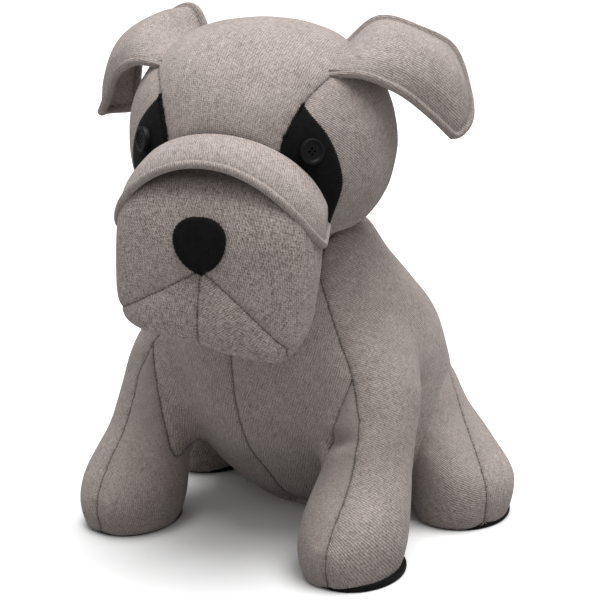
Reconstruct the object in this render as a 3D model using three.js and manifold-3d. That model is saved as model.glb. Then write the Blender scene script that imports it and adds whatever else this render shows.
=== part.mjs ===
// Seated plush dog, cut and sewn from upholstery cloth, with felt details and fibre filling.
// Millimetres. +Z up, the dog faces -Y and its left side is +X. The floor is Z = 0.
import * as THREE from "three";
import { mergeVertices } from "three/addons/utils/BufferGeometryUtils.js";
import Module from "manifold-3d";

const wasm = await Module();
wasm.setup();

// ---------- driving dimensions ----------
const CLOTH = 1.6; // upholstery cloth with its backing
const FELT = 1.4; // eye patches
const NOSE_FELT = 2.6; // nose, two layers of felt
const SOLE = 3; // felt sole
const GAP = 0.4; // clearance between touching pieces
const ROUND = 20; // facets round the head, torso and neck

const HEAD_WIDTH = 130;
const HEAD_FRONT = 61; // head centre to brow
const HEAD_REAR = 56; // head centre to nape
const HEAD_RISE = 57.5; // head centre to crown, and to the underside before it is cut flat
const HEAD_AT = new THREE.Vector3(0, -13, 205);
const HEAD_FLOOR = 165; // flat underside of the head, at the neck opening
const HEAD_YAW = 12; // degrees, the head looks a little to its left
const GUSSET_HALF = 31; // half width of the forehead panel

const MUZZLE_WIDTH = 100;
const MUZZLE_DEPTH = 50;
const MUZZLE_RISE = 38;
const MUZZLE_DROP = 41;
const MUZZLE_AT = new THREE.Vector3(0, -74, 164);

const NECK_BALL = 38; // radius of the packed neck filling
const NECK_CLEAR = 1.2; // round the neck filling, enough for its facets to turn
const NECK_AT = new THREE.Vector3(0, 0, 166);

const TORSO_WIDTH = 140;
const TORSO_TOP = 157;
const FRONT_FOOT = { x: 66, y: -33, halfWidth: 26, halfLength: 32 };
const HIND_FOOT = { x: 78, y: 60, halfWidth: 26.5, halfLength: 31 };
const FRONT_LEG_HEIGHT = 112;
const HIND_LEG_HEIGHT = 88;

const EYE_RADIUS = 6;
const EYE_THICK = 3.2;
const NOSE_HALF_WIDTH = 12.8;
const NOSE_HEIGHT = 26.5;
const BROW_HALF_WIDTH = 48;
const BROW_THICK = 4;
const TAIL_LENGTH = 22;
const TAIL_RADIUS = 8;
const TAIL_CLEAR = 1; // behind the torso, enough for the tail's facets to turn

// ---------- materials ----------
const cloth = (shade) => () =>
  new THREE.MeshStandardMaterial({ color: shade, roughness: 0.95, metalness: 0 });
const paleCloth = cloth(0xafa7a2);
const midCloth = cloth(0x9c928f);
const blackFelt = cloth(0x151515);
const whiteFibre = cloth(0xe9e8e2);
const buttonPlastic = () =>
  new THREE.MeshStandardMaterial({ color: 0x0f0f11, roughness: 0.35, metalness: 0 });

// ---------- solids ----------
function solid(geometry) {
  const g = geometry.clone();
  g.deleteAttribute("normal");
  g.deleteAttribute("uv");
  const merged = mergeVertices(g, 1e-4);
  return new wasm.Manifold(
    new wasm.Mesh({
      numProp: 3,
      vertProperties: merged.attributes.position.array,
      triVerts: new Uint32Array(merged.index.array),
    }),
  );
}

const unite = (...solids) => solids.reduce((whole, next) => whole.add(next));
const cutAway = (from, ...tools) => tools.reduce((rest, tool) => rest.subtract(tool), from);

function box(min, max) {
  const size = new THREE.Vector3().subVectors(max, min);
  const geometry = new THREE.BoxGeometry(size.x, size.y, size.z);
  const centre = new THREE.Vector3().addVectors(min, max).multiplyScalar(0.5);
  return solid(geometry.translate(centre.x, centre.y, centre.z));
}

const FAR = 400;
const leftHalf = box(new THREE.Vector3(GAP / 2, -FAR, -FAR), new THREE.Vector3(FAR, FAR, FAR));
const rightHalf = box(new THREE.Vector3(-FAR, -FAR, -FAR), new THREE.Vector3(-GAP / 2, FAR, FAR));
const halves = { left: leftHalf, right: rightHalf };
const signs = { left: 1, right: -1 };

// A rounded body with its own half size each way, and fullness exponents for its plan and for
// its upper and lower side view: 2 is an ellipsoid, more is squarer.
function roundBody({ at, halfWidth, front, rear, up, down, fullness, round = ROUND, grow = 0 }) {
  const geometry = new THREE.SphereGeometry(1, round, round / 2).rotateX(Math.PI / 2);
  const point = geometry.attributes.position;
  const v = new THREE.Vector3();
  for (let i = 0; i < point.count; i++) {
    v.fromBufferAttribute(point, i);
    const side = v.z > 0 ? fullness.upper : fullness.lower;
    const plan = (Math.abs(v.x) ** fullness.plan + Math.abs(v.y) ** fullness.plan) ** (1 / fullness.plan);
    v.divideScalar((plan ** side + Math.abs(v.z) ** side) ** (1 / side));
    v.x *= halfWidth + grow;
    v.y *= (v.y < 0 ? front : rear) + grow;
    v.z *= (v.z > 0 ? up : down) + grow;
    point.setXYZ(i, v.x + at.x, v.y + at.y, v.z + at.z);
  }
  return solid(geometry);
}

// A body lofted through horizontal elliptical sections, listed from the bottom up.
// Its ends can be moved up or down by themselves.
function stack(sections, { grow = 0, round = ROUND, bottom = 0, top = 0 } = {}) {
  const positions = [];
  const indices = [];
  sections.forEach(({ x, y, z, a, b }, level) => {
    const lift = level === 0 ? bottom : level === sections.length - 1 ? top : 0;
    for (let i = 0; i < round; i++) {
      const angle = (2 * Math.PI * i) / round;
      positions.push(x + (a + grow) * Math.cos(angle), y + (b + grow) * Math.sin(angle), z + lift);
    }
  });
  for (let level = 0; level < sections.length - 1; level++)
    for (let i = 0; i < round; i++) {
      const here = level * round + i;
      const beside = level * round + ((i + 1) % round);
      indices.push(here, beside, here + round, beside, beside + round, here + round);
    }
  const lastRing = (sections.length - 1) * round;
  for (let i = 1; i < round - 1; i++) {
    indices.push(0, i + 1, i);
    indices.push(lastRing, lastRing + i, lastRing + i + 1);
  }
  const geometry = new THREE.BufferGeometry();
  geometry.setAttribute("position", new THREE.Float32BufferAttribute(positions, 3));
  geometry.setIndex(indices);
  return solid(geometry);
}

// A front-view outline in X and Z, run along Y from one value to another.
function frontPrism(outline, fromY, toY, mirror = 1) {
  const shape = new THREE.Shape(outline.map(([x, z]) => new THREE.Vector2(x * mirror, z)));
  const geometry = new THREE.ExtrudeGeometry(shape, { depth: toY - fromY, bevelEnabled: false });
  return solid(geometry.rotateX(Math.PI / 2).translate(0, toY, 0));
}

// A closed sheet that follows a surface point(u, v), from one offset along its normal to another.
function sheet(point, across, along, inner, outer) {
  const positions = [];
  const indices = [];
  const e = 1e-3;
  const normalAt = (u, v) => {
    const du = point(u + e, v).sub(point(u - e, v));
    const dv = point(u, v + e).sub(point(u, v - e));
    return du.cross(dv).normalize();
  };
  for (const offset of [inner, outer])
    for (let j = 0; j <= along; j++)
      for (let i = 0; i <= across; i++) {
        const u = i / across;
        const v = j / along;
        const p = point(u, v).addScaledVector(normalAt(u, v), offset(u, v));
        positions.push(p.x, p.y, p.z);
      }
  const row = across + 1;
  const layer = row * (along + 1);
  for (let j = 0; j < along; j++)
    for (let i = 0; i < across; i++) {
      const k = j * row + i;
      indices.push(k, k + row, k + 1, k + 1, k + row, k + row + 1);
      const m = k + layer;
      indices.push(m, m + 1, m + row, m + 1, m + row + 1, m + row);
    }
  const rim = [];
  for (let i = 0; i < across; i++) rim.push(i);
  for (let j = 0; j < along; j++) rim.push(j * row + across);
  for (let i = across; i > 0; i--) rim.push(along * row + i);
  for (let j = along; j > 0; j--) rim.push(j * row);
  rim.forEach((k, i) => {
    const next = rim[(i + 1) % rim.length];
    indices.push(k, next, k + layer, next, next + layer, k + layer);
  });
  const geometry = new THREE.BufferGeometry();
  geometry.setAttribute("position", new THREE.Float32BufferAttribute(positions, 3));
  geometry.setIndex(indices);
  const made = solid(geometry);
  if (made.volume() > 0) return made;
  geometry.setIndex(indices.map((_, i) => indices[i - (i % 3) + [0, 2, 1][i % 3]]));
  return solid(geometry);
}

// ---------- scene graph ----------
const dog = new THREE.Group();
dog.name = "plush_dog";
const torsoGroup = new THREE.Group();
const headGroup = new THREE.Group();
headGroup.rotation.z = THREE.MathUtils.degToRad(HEAD_YAW);
dog.add(torsoGroup, headGroup);

// The largest piece of a cut, without the specks that nearly coincident faces leave.
const largest = (body) => body.decompose().reduce((a, b) => (b.volume() > a.volume() ? b : a));

function place(group, name, body, material) {
  const { numProp, numVert, vertProperties, triVerts } = largest(body).getMesh();
  const positions = new Float32Array(numVert * 3);
  for (let i = 0; i < numVert; i++)
    positions.set(vertProperties.subarray(i * numProp, i * numProp + 3), i * 3);
  const geometry = new THREE.BufferGeometry();
  geometry.setAttribute("position", new THREE.BufferAttribute(positions, 3));
  geometry.setIndex(new THREE.BufferAttribute(triVerts, 1));
  geometry.computeVertexNormals();
  const mesh = new THREE.Mesh(geometry, material());
  mesh.name = name;
  group.add(mesh);
}

// ---------- body volumes ----------
const BOTTOM = CLOTH + GAP; // the torso's cloth starts above the base panel
const LEG_BOTTOM = SOLE + GAP;
const torsoScale = TORSO_WIDTH / 140;
const torsoTopScale = TORSO_TOP / 157;
const torsoSections = [
  [BOTTOM, 26, 98, 46],
  [12, 10, 110, 58],
  [28, -6, 117, 66],
  [45, -22, 120, 69],
  [65, -34, 120, 70],
  [85, -39.5, 115, 69],
  [104, -42, 104, 66],
  [122, -41, 86, 60],
  [140, -37, 66, 52],
  [150, -33, 56, 47],
  [157, -27, 46, 42],
].map(([z, front, rear, a], level) => ({
  x: 0,
  y: (front + rear) / 2,
  z: level ? z * torsoTopScale : z,
  a: a * torsoScale,
  b: (rear - front) / 2,
}));

// Leg sections: height, then how far the centre has moved from the foot's, then the half sizes
// as shares of the foot's.
const frontLegShape = [
  [0, 0, 0, 0.86, 0.88],
  [0.06, 0, 0, 0.98, 0.98],
  [0.17, 0, 0.5, 1, 1],
  [0.28, -1, 6, 0.9, 0.88],
  [0.41, -4, 17, 0.8, 0.76],
  [0.59, -9, 26, 0.84, 0.78],
  [0.8, -16, 34, 0.92, 0.84],
  [1, -24, 42, 0.78, 0.8],
];
const hindLegShape = [
  [0, 0, 0, 0.86, 0.88],
  [0.08, 0, 0, 0.98, 0.98],
  [0.22, 0, 0, 1, 1],
  [0.41, -7, 0, 0.88, 0.92],
  [0.6, -18, 0, 0.84, 0.87],
  [0.8, -27, 0, 0.84, 0.87],
  [1, -36, 0, 0.74, 0.8],
];
function legSections(shape, foot, height, side) {
  return shape.map(([share, dx, dy, wide, long]) => ({
    x: side * (foot.x + dx),
    y: foot.y + dy,
    z: LEG_BOTTOM + share * (height - LEG_BOTTOM),
    a: foot.halfWidth * wide,
    b: foot.halfLength * long,
  }));
}
const LEG_ROUND = 12;
const legs = {};
for (const [side, sign] of Object.entries(signs)) {
  legs["front_" + side] = legSections(frontLegShape, FRONT_FOOT, FRONT_LEG_HEIGHT, sign);
  legs["hind_" + side] = legSections(hindLegShape, HIND_FOOT, HIND_LEG_HEIGHT, sign);
}
const torso = (grow, open = 0) => stack(torsoSections, { grow, bottom: -open, top: open });
const leg = (name, grow, open = 0) =>
  stack(legs[name], { grow, round: LEG_ROUND, bottom: -open, top: grow });
const neckBall = (grow) =>
  solid(new THREE.SphereGeometry(NECK_BALL + grow, ROUND, ROUND / 2).rotateX(Math.PI / 2))
    .translate([NECK_AT.x, NECK_AT.y, NECK_AT.z]);

// ---------- torso and front legs: cloth ----------
// Seams as seen from the front, X and Z, on the dog's left.
const chestSeam = [[36, 175], [38, 142], [50, 108], [58, 94]];
const armpitSeam = [[44, 48], [35, 16], [30, -8]];
const legFrontSeam = [[65, 76], [67, 40], [66, -8]];
const CHEST_BACK = 20; // the chest panels end here on the belly

const chestOutline = [[-GAP, 175], ...chestSeam, ...armpitSeam, [-GAP, -8]];
const innerLegOutline = [chestSeam.at(-1), ...legFrontSeam, ...[...armpitSeam].reverse()];
const widen = (outline) => outline.map(([x, z]) => [x + (x > 0 ? GAP : 0), z + GAP]);
const innerLegGapOutline = [
  [chestSeam.at(-1)[0], chestSeam.at(-1)[1] + 2 * GAP],
  ...widen(legFrontSeam),
  ...[...armpitSeam].reverse().map(([x, z]) => [x - GAP, z]),
];

function buildTorsoCloth() {
  const outer = unite(torso(0), leg("front_left", 0), leg("front_right", 0));
  const inner = unite(
    torso(-CLOTH, CLOTH),
    leg("front_left", -CLOTH, CLOTH),
    leg("front_right", -CLOTH, CLOTH),
  );
  const skin = cutAway(outer, inner, neckBall(NECK_CLEAR));
  for (const [side, sign] of Object.entries(signs)) {
    const half = skin.intersect(halves[side]);
    const chest = frontPrism(chestOutline, -FAR, CHEST_BACK, sign);
    const chestGap = frontPrism(widen(chestOutline), -FAR, CHEST_BACK + GAP, sign);
    const legBack = FRONT_FOOT.y + FRONT_FOOT.halfLength * 1.6;
    const innerLeg = frontPrism(innerLegOutline, -FAR, legBack, sign);
    const innerLegGap = frontPrism(innerLegGapOutline, -FAR, legBack + GAP, sign);
    place(torsoGroup, "chest_panel_" + side, half.intersect(chest), paleCloth);
    place(torsoGroup, "front_leg_inner_" + side, cutAway(half, chestGap).intersect(innerLeg), midCloth);
    place(torsoGroup, "body_side_" + side, cutAway(half, chestGap, innerLegGap), paleCloth);
  }
}

// ---------- hind legs: cloth ----------
const HIND_SEAM_TURN = 35; // degrees ahead of straight out to the side

function buildHindLegCloth() {
  for (const [side, sign] of Object.entries(signs)) {
    const name = "hind_" + side;
    const skin = cutAway(leg(name, 0), leg(name, -CLOTH, CLOTH), torso(GAP, GAP));
    const turn = THREE.MathUtils.degToRad(-sign * HIND_SEAM_TURN);
    const foot = legs[name][0];
    const sideOf = (direction) => {
      const block = new THREE.BoxGeometry(FAR, FAR, FAR);
      block.translate(0, direction * (FAR / 2 + GAP / 2), 0).rotateZ(turn);
      return solid(block.translate(foot.x, foot.y, 0));
    };
    place(torsoGroup, "hind_leg_front_" + side, skin.intersect(sideOf(-1)), midCloth);
    place(torsoGroup, "hind_leg_back_" + side, skin.intersect(sideOf(1)), paleCloth);
  }
}

// ---------- soles and base ----------
function disc(x, y, halfWidth, halfLength, thickness, round) {
  const shape = new THREE.Shape();
  shape.absellipse(x, y, halfWidth, halfLength, 0, 2 * Math.PI);
  return solid(
    new THREE.ExtrudeGeometry(shape, { depth: thickness, bevelEnabled: false, curveSegments: round }),
  );
}

function buildUnderside() {
  for (const [name, sections] of Object.entries(legs)) {
    const { x, y, a, b } = sections[0];
    place(torsoGroup, name.replace("_", "_sole_"), disc(x, y, a, b, SOLE, LEG_ROUND), blackFelt);
  }
  const { x, y, a, b } = torsoSections[0];
  place(torsoGroup, "base_panel", disc(x, y, a, b, CLOTH, ROUND), midCloth);
}

// ---------- filling of the torso, legs and neck ----------
function buildBodyFilling() {
  const inset = -(CLOTH + GAP);
  const packed = cutAway(torso(inset), neckBall(NECK_CLEAR));
  place(torsoGroup, "torso_filling", packed, whiteFibre);
  for (const name of Object.keys(legs)) {
    const filling = cutAway(leg(name, inset), torso(name.startsWith("hind") ? GAP : -CLOTH, GAP));
    place(torsoGroup, name.replace("_", "_leg_filling_"), filling, whiteFibre);
  }
  place(torsoGroup, "neck_filling", neckBall(0), whiteFibre);
}

// ---------- tail ----------
// The tail's own frame has its root at the origin and its length along +Z.
const TAIL_HEIGHT = 86;
const torsoRearAt = (z) => {
  const above = torsoSections.findIndex((section) => section.z > z);
  const [low, high] = [torsoSections[above - 1], torsoSections[above]];
  const rear = ({ y, b }) => y + b;
  return THREE.MathUtils.mapLinear(z, low.z, high.z, rear(low), rear(high));
};
const TAIL_ROOT = new THREE.Vector3(0, torsoRearAt(TAIL_HEIGHT) + TAIL_RADIUS + TAIL_CLEAR, TAIL_HEIGHT);
const TAIL_LEAN = -25; // degrees back from upright

function buildTail() {
  const group = new THREE.Group();
  group.position.copy(TAIL_ROOT);
  group.rotation.x = THREE.MathUtils.degToRad(TAIL_LEAN);
  torsoGroup.add(group);
  const profile = (radius, length) => {
    const points = [];
    const steps = 5;
    for (let i = 0; i <= steps; i++) {
      const angle = (Math.PI / 2) * (i / steps - 1);
      points.push(new THREE.Vector2(radius * Math.cos(angle), radius * Math.sin(angle)));
    }
    for (let i = 0; i <= steps; i++) {
      const angle = (Math.PI / 2) * (i / steps);
      const taper = 0.8 * radius;
      points.push(new THREE.Vector2(taper * Math.cos(angle), length - taper + taper * Math.sin(angle)));
    }
    points[0].x = 0;
    points.at(-1).x = 0;
    return points;
  };
  const body = (radius, length) =>
    solid(new THREE.LatheGeometry(profile(radius, length), 14).rotateX(Math.PI / 2));
  const core = body(TAIL_RADIUS - CLOTH, TAIL_LENGTH - CLOTH);
  const mouth = solid(new THREE.CylinderGeometry(3, 3, TAIL_RADIUS, 10).rotateX(Math.PI / 2))
    .translate([0, 0, -TAIL_RADIUS]);
  place(group, "tail_cover", cutAway(body(TAIL_RADIUS, TAIL_LENGTH), core, mouth), paleCloth);
  const inset = CLOTH + GAP;
  place(group, "tail_filling", body(TAIL_RADIUS - inset, TAIL_LENGTH - inset), whiteFibre);
}

// ---------- head volumes ----------
const HEAD_FULLNESS = 2.1;
const MUZZLE_FULLNESS = { plan: 3.4, upper: 2.5, lower: 4 };
const MUZZLE_ROUND = 20;
const dome = (grow) =>
  roundBody({
    at: HEAD_AT,
    halfWidth: HEAD_WIDTH / 2,
    front: HEAD_FRONT,
    rear: HEAD_REAR,
    up: HEAD_RISE,
    down: HEAD_RISE,
    fullness: { plan: HEAD_FULLNESS, upper: HEAD_FULLNESS, lower: HEAD_FULLNESS },
    grow,
  });
const muzzle = (grow) =>
  roundBody({
    at: MUZZLE_AT,
    halfWidth: MUZZLE_WIDTH / 2,
    front: MUZZLE_DEPTH / 2,
    rear: MUZZLE_DEPTH / 2,
    up: MUZZLE_RISE,
    down: MUZZLE_DROP,
    fullness: MUZZLE_FULLNESS,
    round: MUZZLE_ROUND,
    grow,
  });
// Everything of the dome below the neck opening goes, at a height that follows the inset.
const belowNeck = (lift) => {
  const floor = HEAD_FLOOR + lift;
  return box(
    new THREE.Vector3(-FAR, MUZZLE_AT.y + MUZZLE_DEPTH / 4, -FAR),
    new THREE.Vector3(FAR, FAR, floor),
  );
};
const head = (grow, lift = 0) => unite(cutAway(dome(grow), belowNeck(lift)), muzzle(grow));

// Half width of the dome at a height and depth, so that what is sewn to it starts on its surface.
function domeHalfWidth(y, z) {
  const n = HEAD_FULLNESS;
  const depth = y < HEAD_AT.y ? HEAD_FRONT : HEAD_REAR;
  const used =
    (Math.abs(y - HEAD_AT.y) / depth) ** n + (Math.abs(z - HEAD_AT.z) / HEAD_RISE) ** n;
  return (HEAD_WIDTH / 2) * Math.max(0, 1 - used) ** (1 / n);
}

// ---------- head: cloth ----------
const MUZZLE_FRONT = MUZZLE_AT.y - MUZZLE_DEPTH / 2;
const MUZZLE_LOW = MUZZLE_AT.z - MUZZLE_DROP;
const NOSE_LOW = MUZZLE_AT.z - 3;
const BROW_SEAM_HIGH = 215; // middle of the brow's upper seam

function buildHeadCloth() {
  const skin = cutAway(head(0), head(-CLOTH, -CLOTH), neckBall(NECK_CLEAR));
  const behind = MUZZLE_AT.y + MUZZLE_DEPTH / 4;
  // Seen from the front, the muzzle's cloth lies below this arch and ahead of this depth.
  const arch = [];
  const archSteps = 10;
  for (let i = 0; i <= archSteps; i++) {
    const angle = (Math.PI * i) / archSteps;
    const rise = BROW_SEAM_HIGH - MUZZLE_AT.z;
    arch.push([
      (BROW_HALF_WIDTH + 2) * Math.cos(angle),
      MUZZLE_AT.z + rise * Math.sin(angle),
    ]);
  }
  const low = MUZZLE_LOW - 10;
  const muzzleOutline = [[BROW_HALF_WIDTH + 2, low], ...arch, [-BROW_HALF_WIDTH - 2, low]];
  const muzzleRegion = frontPrism(muzzleOutline, -FAR, behind);
  const raise = ([x, z]) => [x + Math.sign(x) * GAP, z + GAP];
  const muzzleGap = frontPrism(muzzleOutline.map(raise), -FAR, behind + GAP);
  const muzzleCloth = skin.intersect(muzzleRegion);
  const dome = skin.subtract(muzzleGap);

  // The chin seams fan out from the nose to the lower corners, and one runs down the middle.
  const corner = MUZZLE_WIDTH * 0.44;
  const fan = [[0, NOSE_LOW], [corner, MUZZLE_LOW + 8], [corner, low - 10], [0, low - 10]];
  for (const [side, sign] of Object.entries(signs)) {
    const chin = frontPrism(fan, -FAR, FAR, sign).intersect(halves[side]);
    place(headGroup, "chin_panel_" + side, muzzleCloth.intersect(chin), midCloth);
  }
  const fanGap = fan.map(([x, z]) => [x ? x + GAP : -GAP, z > low - 5 ? z + GAP : z]);
  const chinGaps = [1, -1].map((sign) => frontPrism(fanGap, -FAR, FAR, sign));
  place(headGroup, "muzzle_panel", cutAway(muzzleCloth, ...chinGaps), paleCloth);

  const gussetBox = (half) =>
    box(new THREE.Vector3(-half, -FAR, HEAD_AT.z - 25), new THREE.Vector3(half, FAR, FAR));
  place(headGroup, "forehead_panel", dome.intersect(gussetBox(GUSSET_HALF)), paleCloth);
  for (const side of Object.keys(signs)) {
    const cheek = cutAway(dome.intersect(halves[side]), gussetBox(GUSSET_HALF + GAP));
    place(headGroup, "head_side_" + side, cheek, midCloth);
  }
}

// ---------- eyes ----------
const patchOutline = [[35, 230], [27.5, 210], [40, 200], [49, 176], [56, 193], [50, 214]];
const EYE_SPREAD = 41; // from the middle of the face
const EYE_HEIGHT = 211;

// The point on the front of the dome at a spread and height, and the way its surface faces.
function domeFront(x, z) {
  const n = HEAD_FULLNESS;
  const across = Math.abs(x) / (HEAD_WIDTH / 2);
  const rise = (z - HEAD_AT.z) / HEAD_RISE;
  const ahead = Math.max(0, 1 - across ** n - Math.abs(rise) ** n) ** (1 / n);
  const slope = (share, half) => share ** (n - 1) / half;
  return {
    at: new THREE.Vector3(x, HEAD_AT.y - HEAD_FRONT * ahead, z),
    outward: new THREE.Vector3(
      Math.sign(x) * slope(across, HEAD_WIDTH / 2),
      -slope(ahead, HEAD_FRONT),
      Math.sign(rise) * slope(Math.abs(rise), HEAD_RISE),
    ).normalize(),
  };
}

function buildEyes() {
  const felt = cutAway(dome(GAP + FELT), dome(GAP), muzzle(GAP));
  for (const [side, sign] of Object.entries(signs)) {
    const patch = frontPrism(patchOutline, -FAR, -25, sign);
    place(headGroup, "eye_patch_" + side, felt.intersect(patch), blackFelt);

    const rim = EYE_RADIUS - 1.4;
    const profile = [
      [0, 0],
      [EYE_RADIUS - 0.6, 0],
      [EYE_RADIUS, 0.8],
      [EYE_RADIUS, EYE_THICK - 0.9],
      [EYE_RADIUS - 0.7, EYE_THICK],
      [rim, EYE_THICK],
      [rim - 0.9, EYE_THICK - 1],
      [0, EYE_THICK - 1.1],
    ].map(([x, y]) => new THREE.Vector2(x, y));
    const button = new THREE.Group();
    const { at, outward } = domeFront(sign * EYE_SPREAD, EYE_HEIGHT);
    button.position.copy(at).addScaledVector(outward, GAP + FELT + GAP);
    button.quaternion.setFromUnitVectors(new THREE.Vector3(0, 1, 0), outward);
    headGroup.add(button);
    place(button, "eye_button_" + side, solid(new THREE.LatheGeometry(profile, 20)), buttonPlastic);
  }
}

// ---------- nose ----------
function buildNose() {
  const w = NOSE_HALF_WIDTH;
  const h = NOSE_HEIGHT / 2;
  const shape = new THREE.Shape();
  shape.moveTo(0, -h);
  shape.bezierCurveTo(0.55 * w, -h, 0.98 * w, -0.2 * h, w, 0.1 * h);
  shape.bezierCurveTo(w, 0.6 * h, 0.75 * w, h, 0.2 * w, h);
  shape.lineTo(-0.2 * w, h);
  shape.bezierCurveTo(-0.75 * w, h, -w, 0.6 * h, -w, 0.1 * h);
  shape.bezierCurveTo(-0.98 * w, -0.2 * h, -0.55 * w, -h, 0, -h);
  const geometry = new THREE.ExtrudeGeometry(shape, {
    depth: NOSE_FELT,
    bevelEnabled: false,
    curveSegments: 6,
  });
  const nose = new THREE.Group();
  nose.position.set(0, MUZZLE_FRONT - GAP, NOSE_LOW + NOSE_HEIGHT / 2);
  nose.rotation.x = Math.PI / 2;
  headGroup.add(nose);
  place(nose, "nose", solid(geometry), blackFelt);
}

// ---------- brow fold ----------
const BROW_FREE = { low: 170, rise: 34, back: -73, reach: 24 };
const BROW_SEWN = { low: 178, rise: 38, back: -66, reach: 15 };
function browPoint(u, v) {
  const angle = (Math.PI / 2) * (2 * u - 1) * 0.97;
  const c = Math.cos(angle);
  const edge = (e, power) =>
    new THREE.Vector3(
      BROW_HALF_WIDTH * Math.sin(angle),
      e.back - e.reach * c ** 0.8,
      e.low + e.rise * c ** power,
    );
  return edge(BROW_SEWN, 0.9).lerp(edge(BROW_FREE, 1.25), v);
}

function buildBrow() {
  const puff = (v) => 1.5 * Math.sin(Math.PI * v);
  const strip = sheet(
    browPoint,
    18,
    4,
    (u, v) => -BROW_THICK / 2 - puff(v),
    (u, v) => BROW_THICK / 2 + puff(v),
  );
  const clear = cutAway(strip, head(GAP + FELT + GAP, GAP));
  place(headGroup, "brow_fold", clear, paleCloth);
}

// ---------- ears ----------
// Rows run from the root to the outer edge; each row is front, middle and back.
// The root holds y and z on the dome; the others hold the distance out from the root, y and z.
const EAR_ROOT = [[-41, 243], [-17, 249], [7, 250]];
const EAR_ROWS = [
  [[9.3, -39, 242], [8.3, -14, 257], [9.7, 12, 264]],
  [[24.3, -28, 234], [25.3, -6, 253], [28.7, 20, 259]],
  [[36.3, -12, 220], [40.3, 4, 239], [42.7, 24, 250]],
  [[47.3, 0, 206], [50.3, 8, 214], [53.7, 20, 229]],
];
const EAR_CLEAR = 3.4; // from the dome's surface to the ear's root

function earPoint(sign) {
  const root = EAR_ROOT.map(([y, z]) => [domeHalfWidth(y, z) + EAR_CLEAR, y, z]);
  const hanging = EAR_ROWS.map((row) => row.map(([out, y, z], i) => [root[i][0] + out, y, z]));
  const rows = [root, ...hanging].map((row) =>
    row.map(([x, y, z]) => new THREE.Vector3(sign * x, y, z)),
  );
  return (u, v) => {
    const along = [0, 1, 2].map((column) =>
      new THREE.CatmullRomCurve3(rows.map((row) => row[column])).getPoint(
        THREE.MathUtils.clamp(v, 0, 1),
      ),
    );
    return new THREE.CatmullRomCurve3(along).getPoint(THREE.MathUtils.clamp(u, 0, 1));
  };
}

function buildEars() {
  const near = GAP / 2;
  const far = GAP / 2 + CLOTH;
  for (const [side, sign] of Object.entries(signs)) {
    const layers = {
      [sign > 0 ? "upper" : "lining"]: [near, far],
      [sign > 0 ? "lining" : "upper"]: [-far, -near],
    };
    for (const [layer, [inner, outer]] of Object.entries(layers)) {
      const piece = sheet(earPoint(sign), 6, 9, () => inner, () => outer);
      place(headGroup, "ear_" + layer + "_" + side, piece, paleCloth);
    }
  }
}

// ---------- head filling ----------
function buildHeadFilling() {
  const inset = -(CLOTH + GAP);
  const packed = cutAway(head(inset, CLOTH + GAP), neckBall(NECK_CLEAR));
  place(headGroup, "head_filling", packed, whiteFibre);
}

buildTorsoCloth();
buildHindLegCloth();
buildUnderside();
buildBodyFilling();
buildTail();
buildHeadCloth();
buildEyes();
buildNose();
buildBrow();
buildEars();
buildHeadFilling();

// The origin sits on the floor, under the middle of the whole dog.
const extent = new THREE.Box3().setFromObject(dog, true);
const middle = extent.getCenter(new THREE.Vector3());
dog.position.set(-middle.x, -middle.y, -extent.min.z);

export default dog;
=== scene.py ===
"""Looks of the seated plush dog: stuffed cloth panels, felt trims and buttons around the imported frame.

Lengths are millimetres in the workshop frame: the floor is z 0, and x 0, y 0 is the middle of the
neck. The head is made looking straight ahead (-y) and turned as it is put in place.
"""

import math

import bpy
import numpy as np
from mathutils import Matrix, Vector, kdtree, noise


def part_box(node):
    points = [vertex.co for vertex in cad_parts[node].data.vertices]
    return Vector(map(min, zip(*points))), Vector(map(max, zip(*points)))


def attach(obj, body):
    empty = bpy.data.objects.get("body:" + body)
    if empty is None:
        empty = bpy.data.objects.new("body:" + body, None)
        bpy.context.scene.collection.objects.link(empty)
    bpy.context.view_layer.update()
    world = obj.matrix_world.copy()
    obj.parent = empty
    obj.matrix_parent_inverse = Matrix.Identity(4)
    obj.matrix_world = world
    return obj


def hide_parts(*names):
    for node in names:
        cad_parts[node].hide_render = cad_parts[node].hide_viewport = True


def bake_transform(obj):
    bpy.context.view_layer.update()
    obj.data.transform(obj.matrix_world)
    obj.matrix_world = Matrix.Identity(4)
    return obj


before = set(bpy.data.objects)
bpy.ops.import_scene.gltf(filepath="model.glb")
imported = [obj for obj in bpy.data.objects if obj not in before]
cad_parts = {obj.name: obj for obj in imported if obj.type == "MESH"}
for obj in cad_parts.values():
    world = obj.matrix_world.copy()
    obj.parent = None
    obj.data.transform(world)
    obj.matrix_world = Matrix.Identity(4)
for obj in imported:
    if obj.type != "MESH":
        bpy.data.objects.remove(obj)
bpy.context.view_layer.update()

MM = 0.001
neck_low, neck_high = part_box("neck_filling")
NECK = (neck_low + neck_high) / 2
NECK_BALL = (neck_high.z - neck_low.z) / 2 / MM
NECK_HEIGHT = NECK.z / MM
MIDDLE = np.array([NECK.x, NECK.y, 0.0])

# ---------- sizes ----------
HEAD_YAW = 12.0  # degrees the head looks to its left
CLOTH = 1.1  # thickness of a panel
BODY_MESH = 5.0  # size of the mesh that is stuffed
HEAD_MESH = 4.0
SEAM_DEPTH = 1.0
SEAM_WIDTH = 1.7

HEAD_AT = (0.0, -13.0, 205.0)
HEAD_HALF = (65.0, 61.0, 56.0, 57.5)  # half width, front, rear, height
HEAD_FLOOR = 169.0  # the head's round side turns under below this
HEAD_UNDERSIDE = 162.0
LIP = 172.0  # height where the neck gather meets the head's panels
MUZZLE_AT = (0.0, -74.0, 164.0)
MUZZLE_ROLL = 2.0  # degrees, lower on the dog's left
MUZZLE_SKEW = 0.13  # how much more its lower edge slopes the same way
MUZZLE_TAPER = 0.1  # how much it narrows downwards, all of it on the dog's left
MUZZLE_SIZE = (48.0, 25.0, 25.0, 38.0, 43.5)  # half width, front, rear, up, down
TORSO_TOP = 160.5

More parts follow.
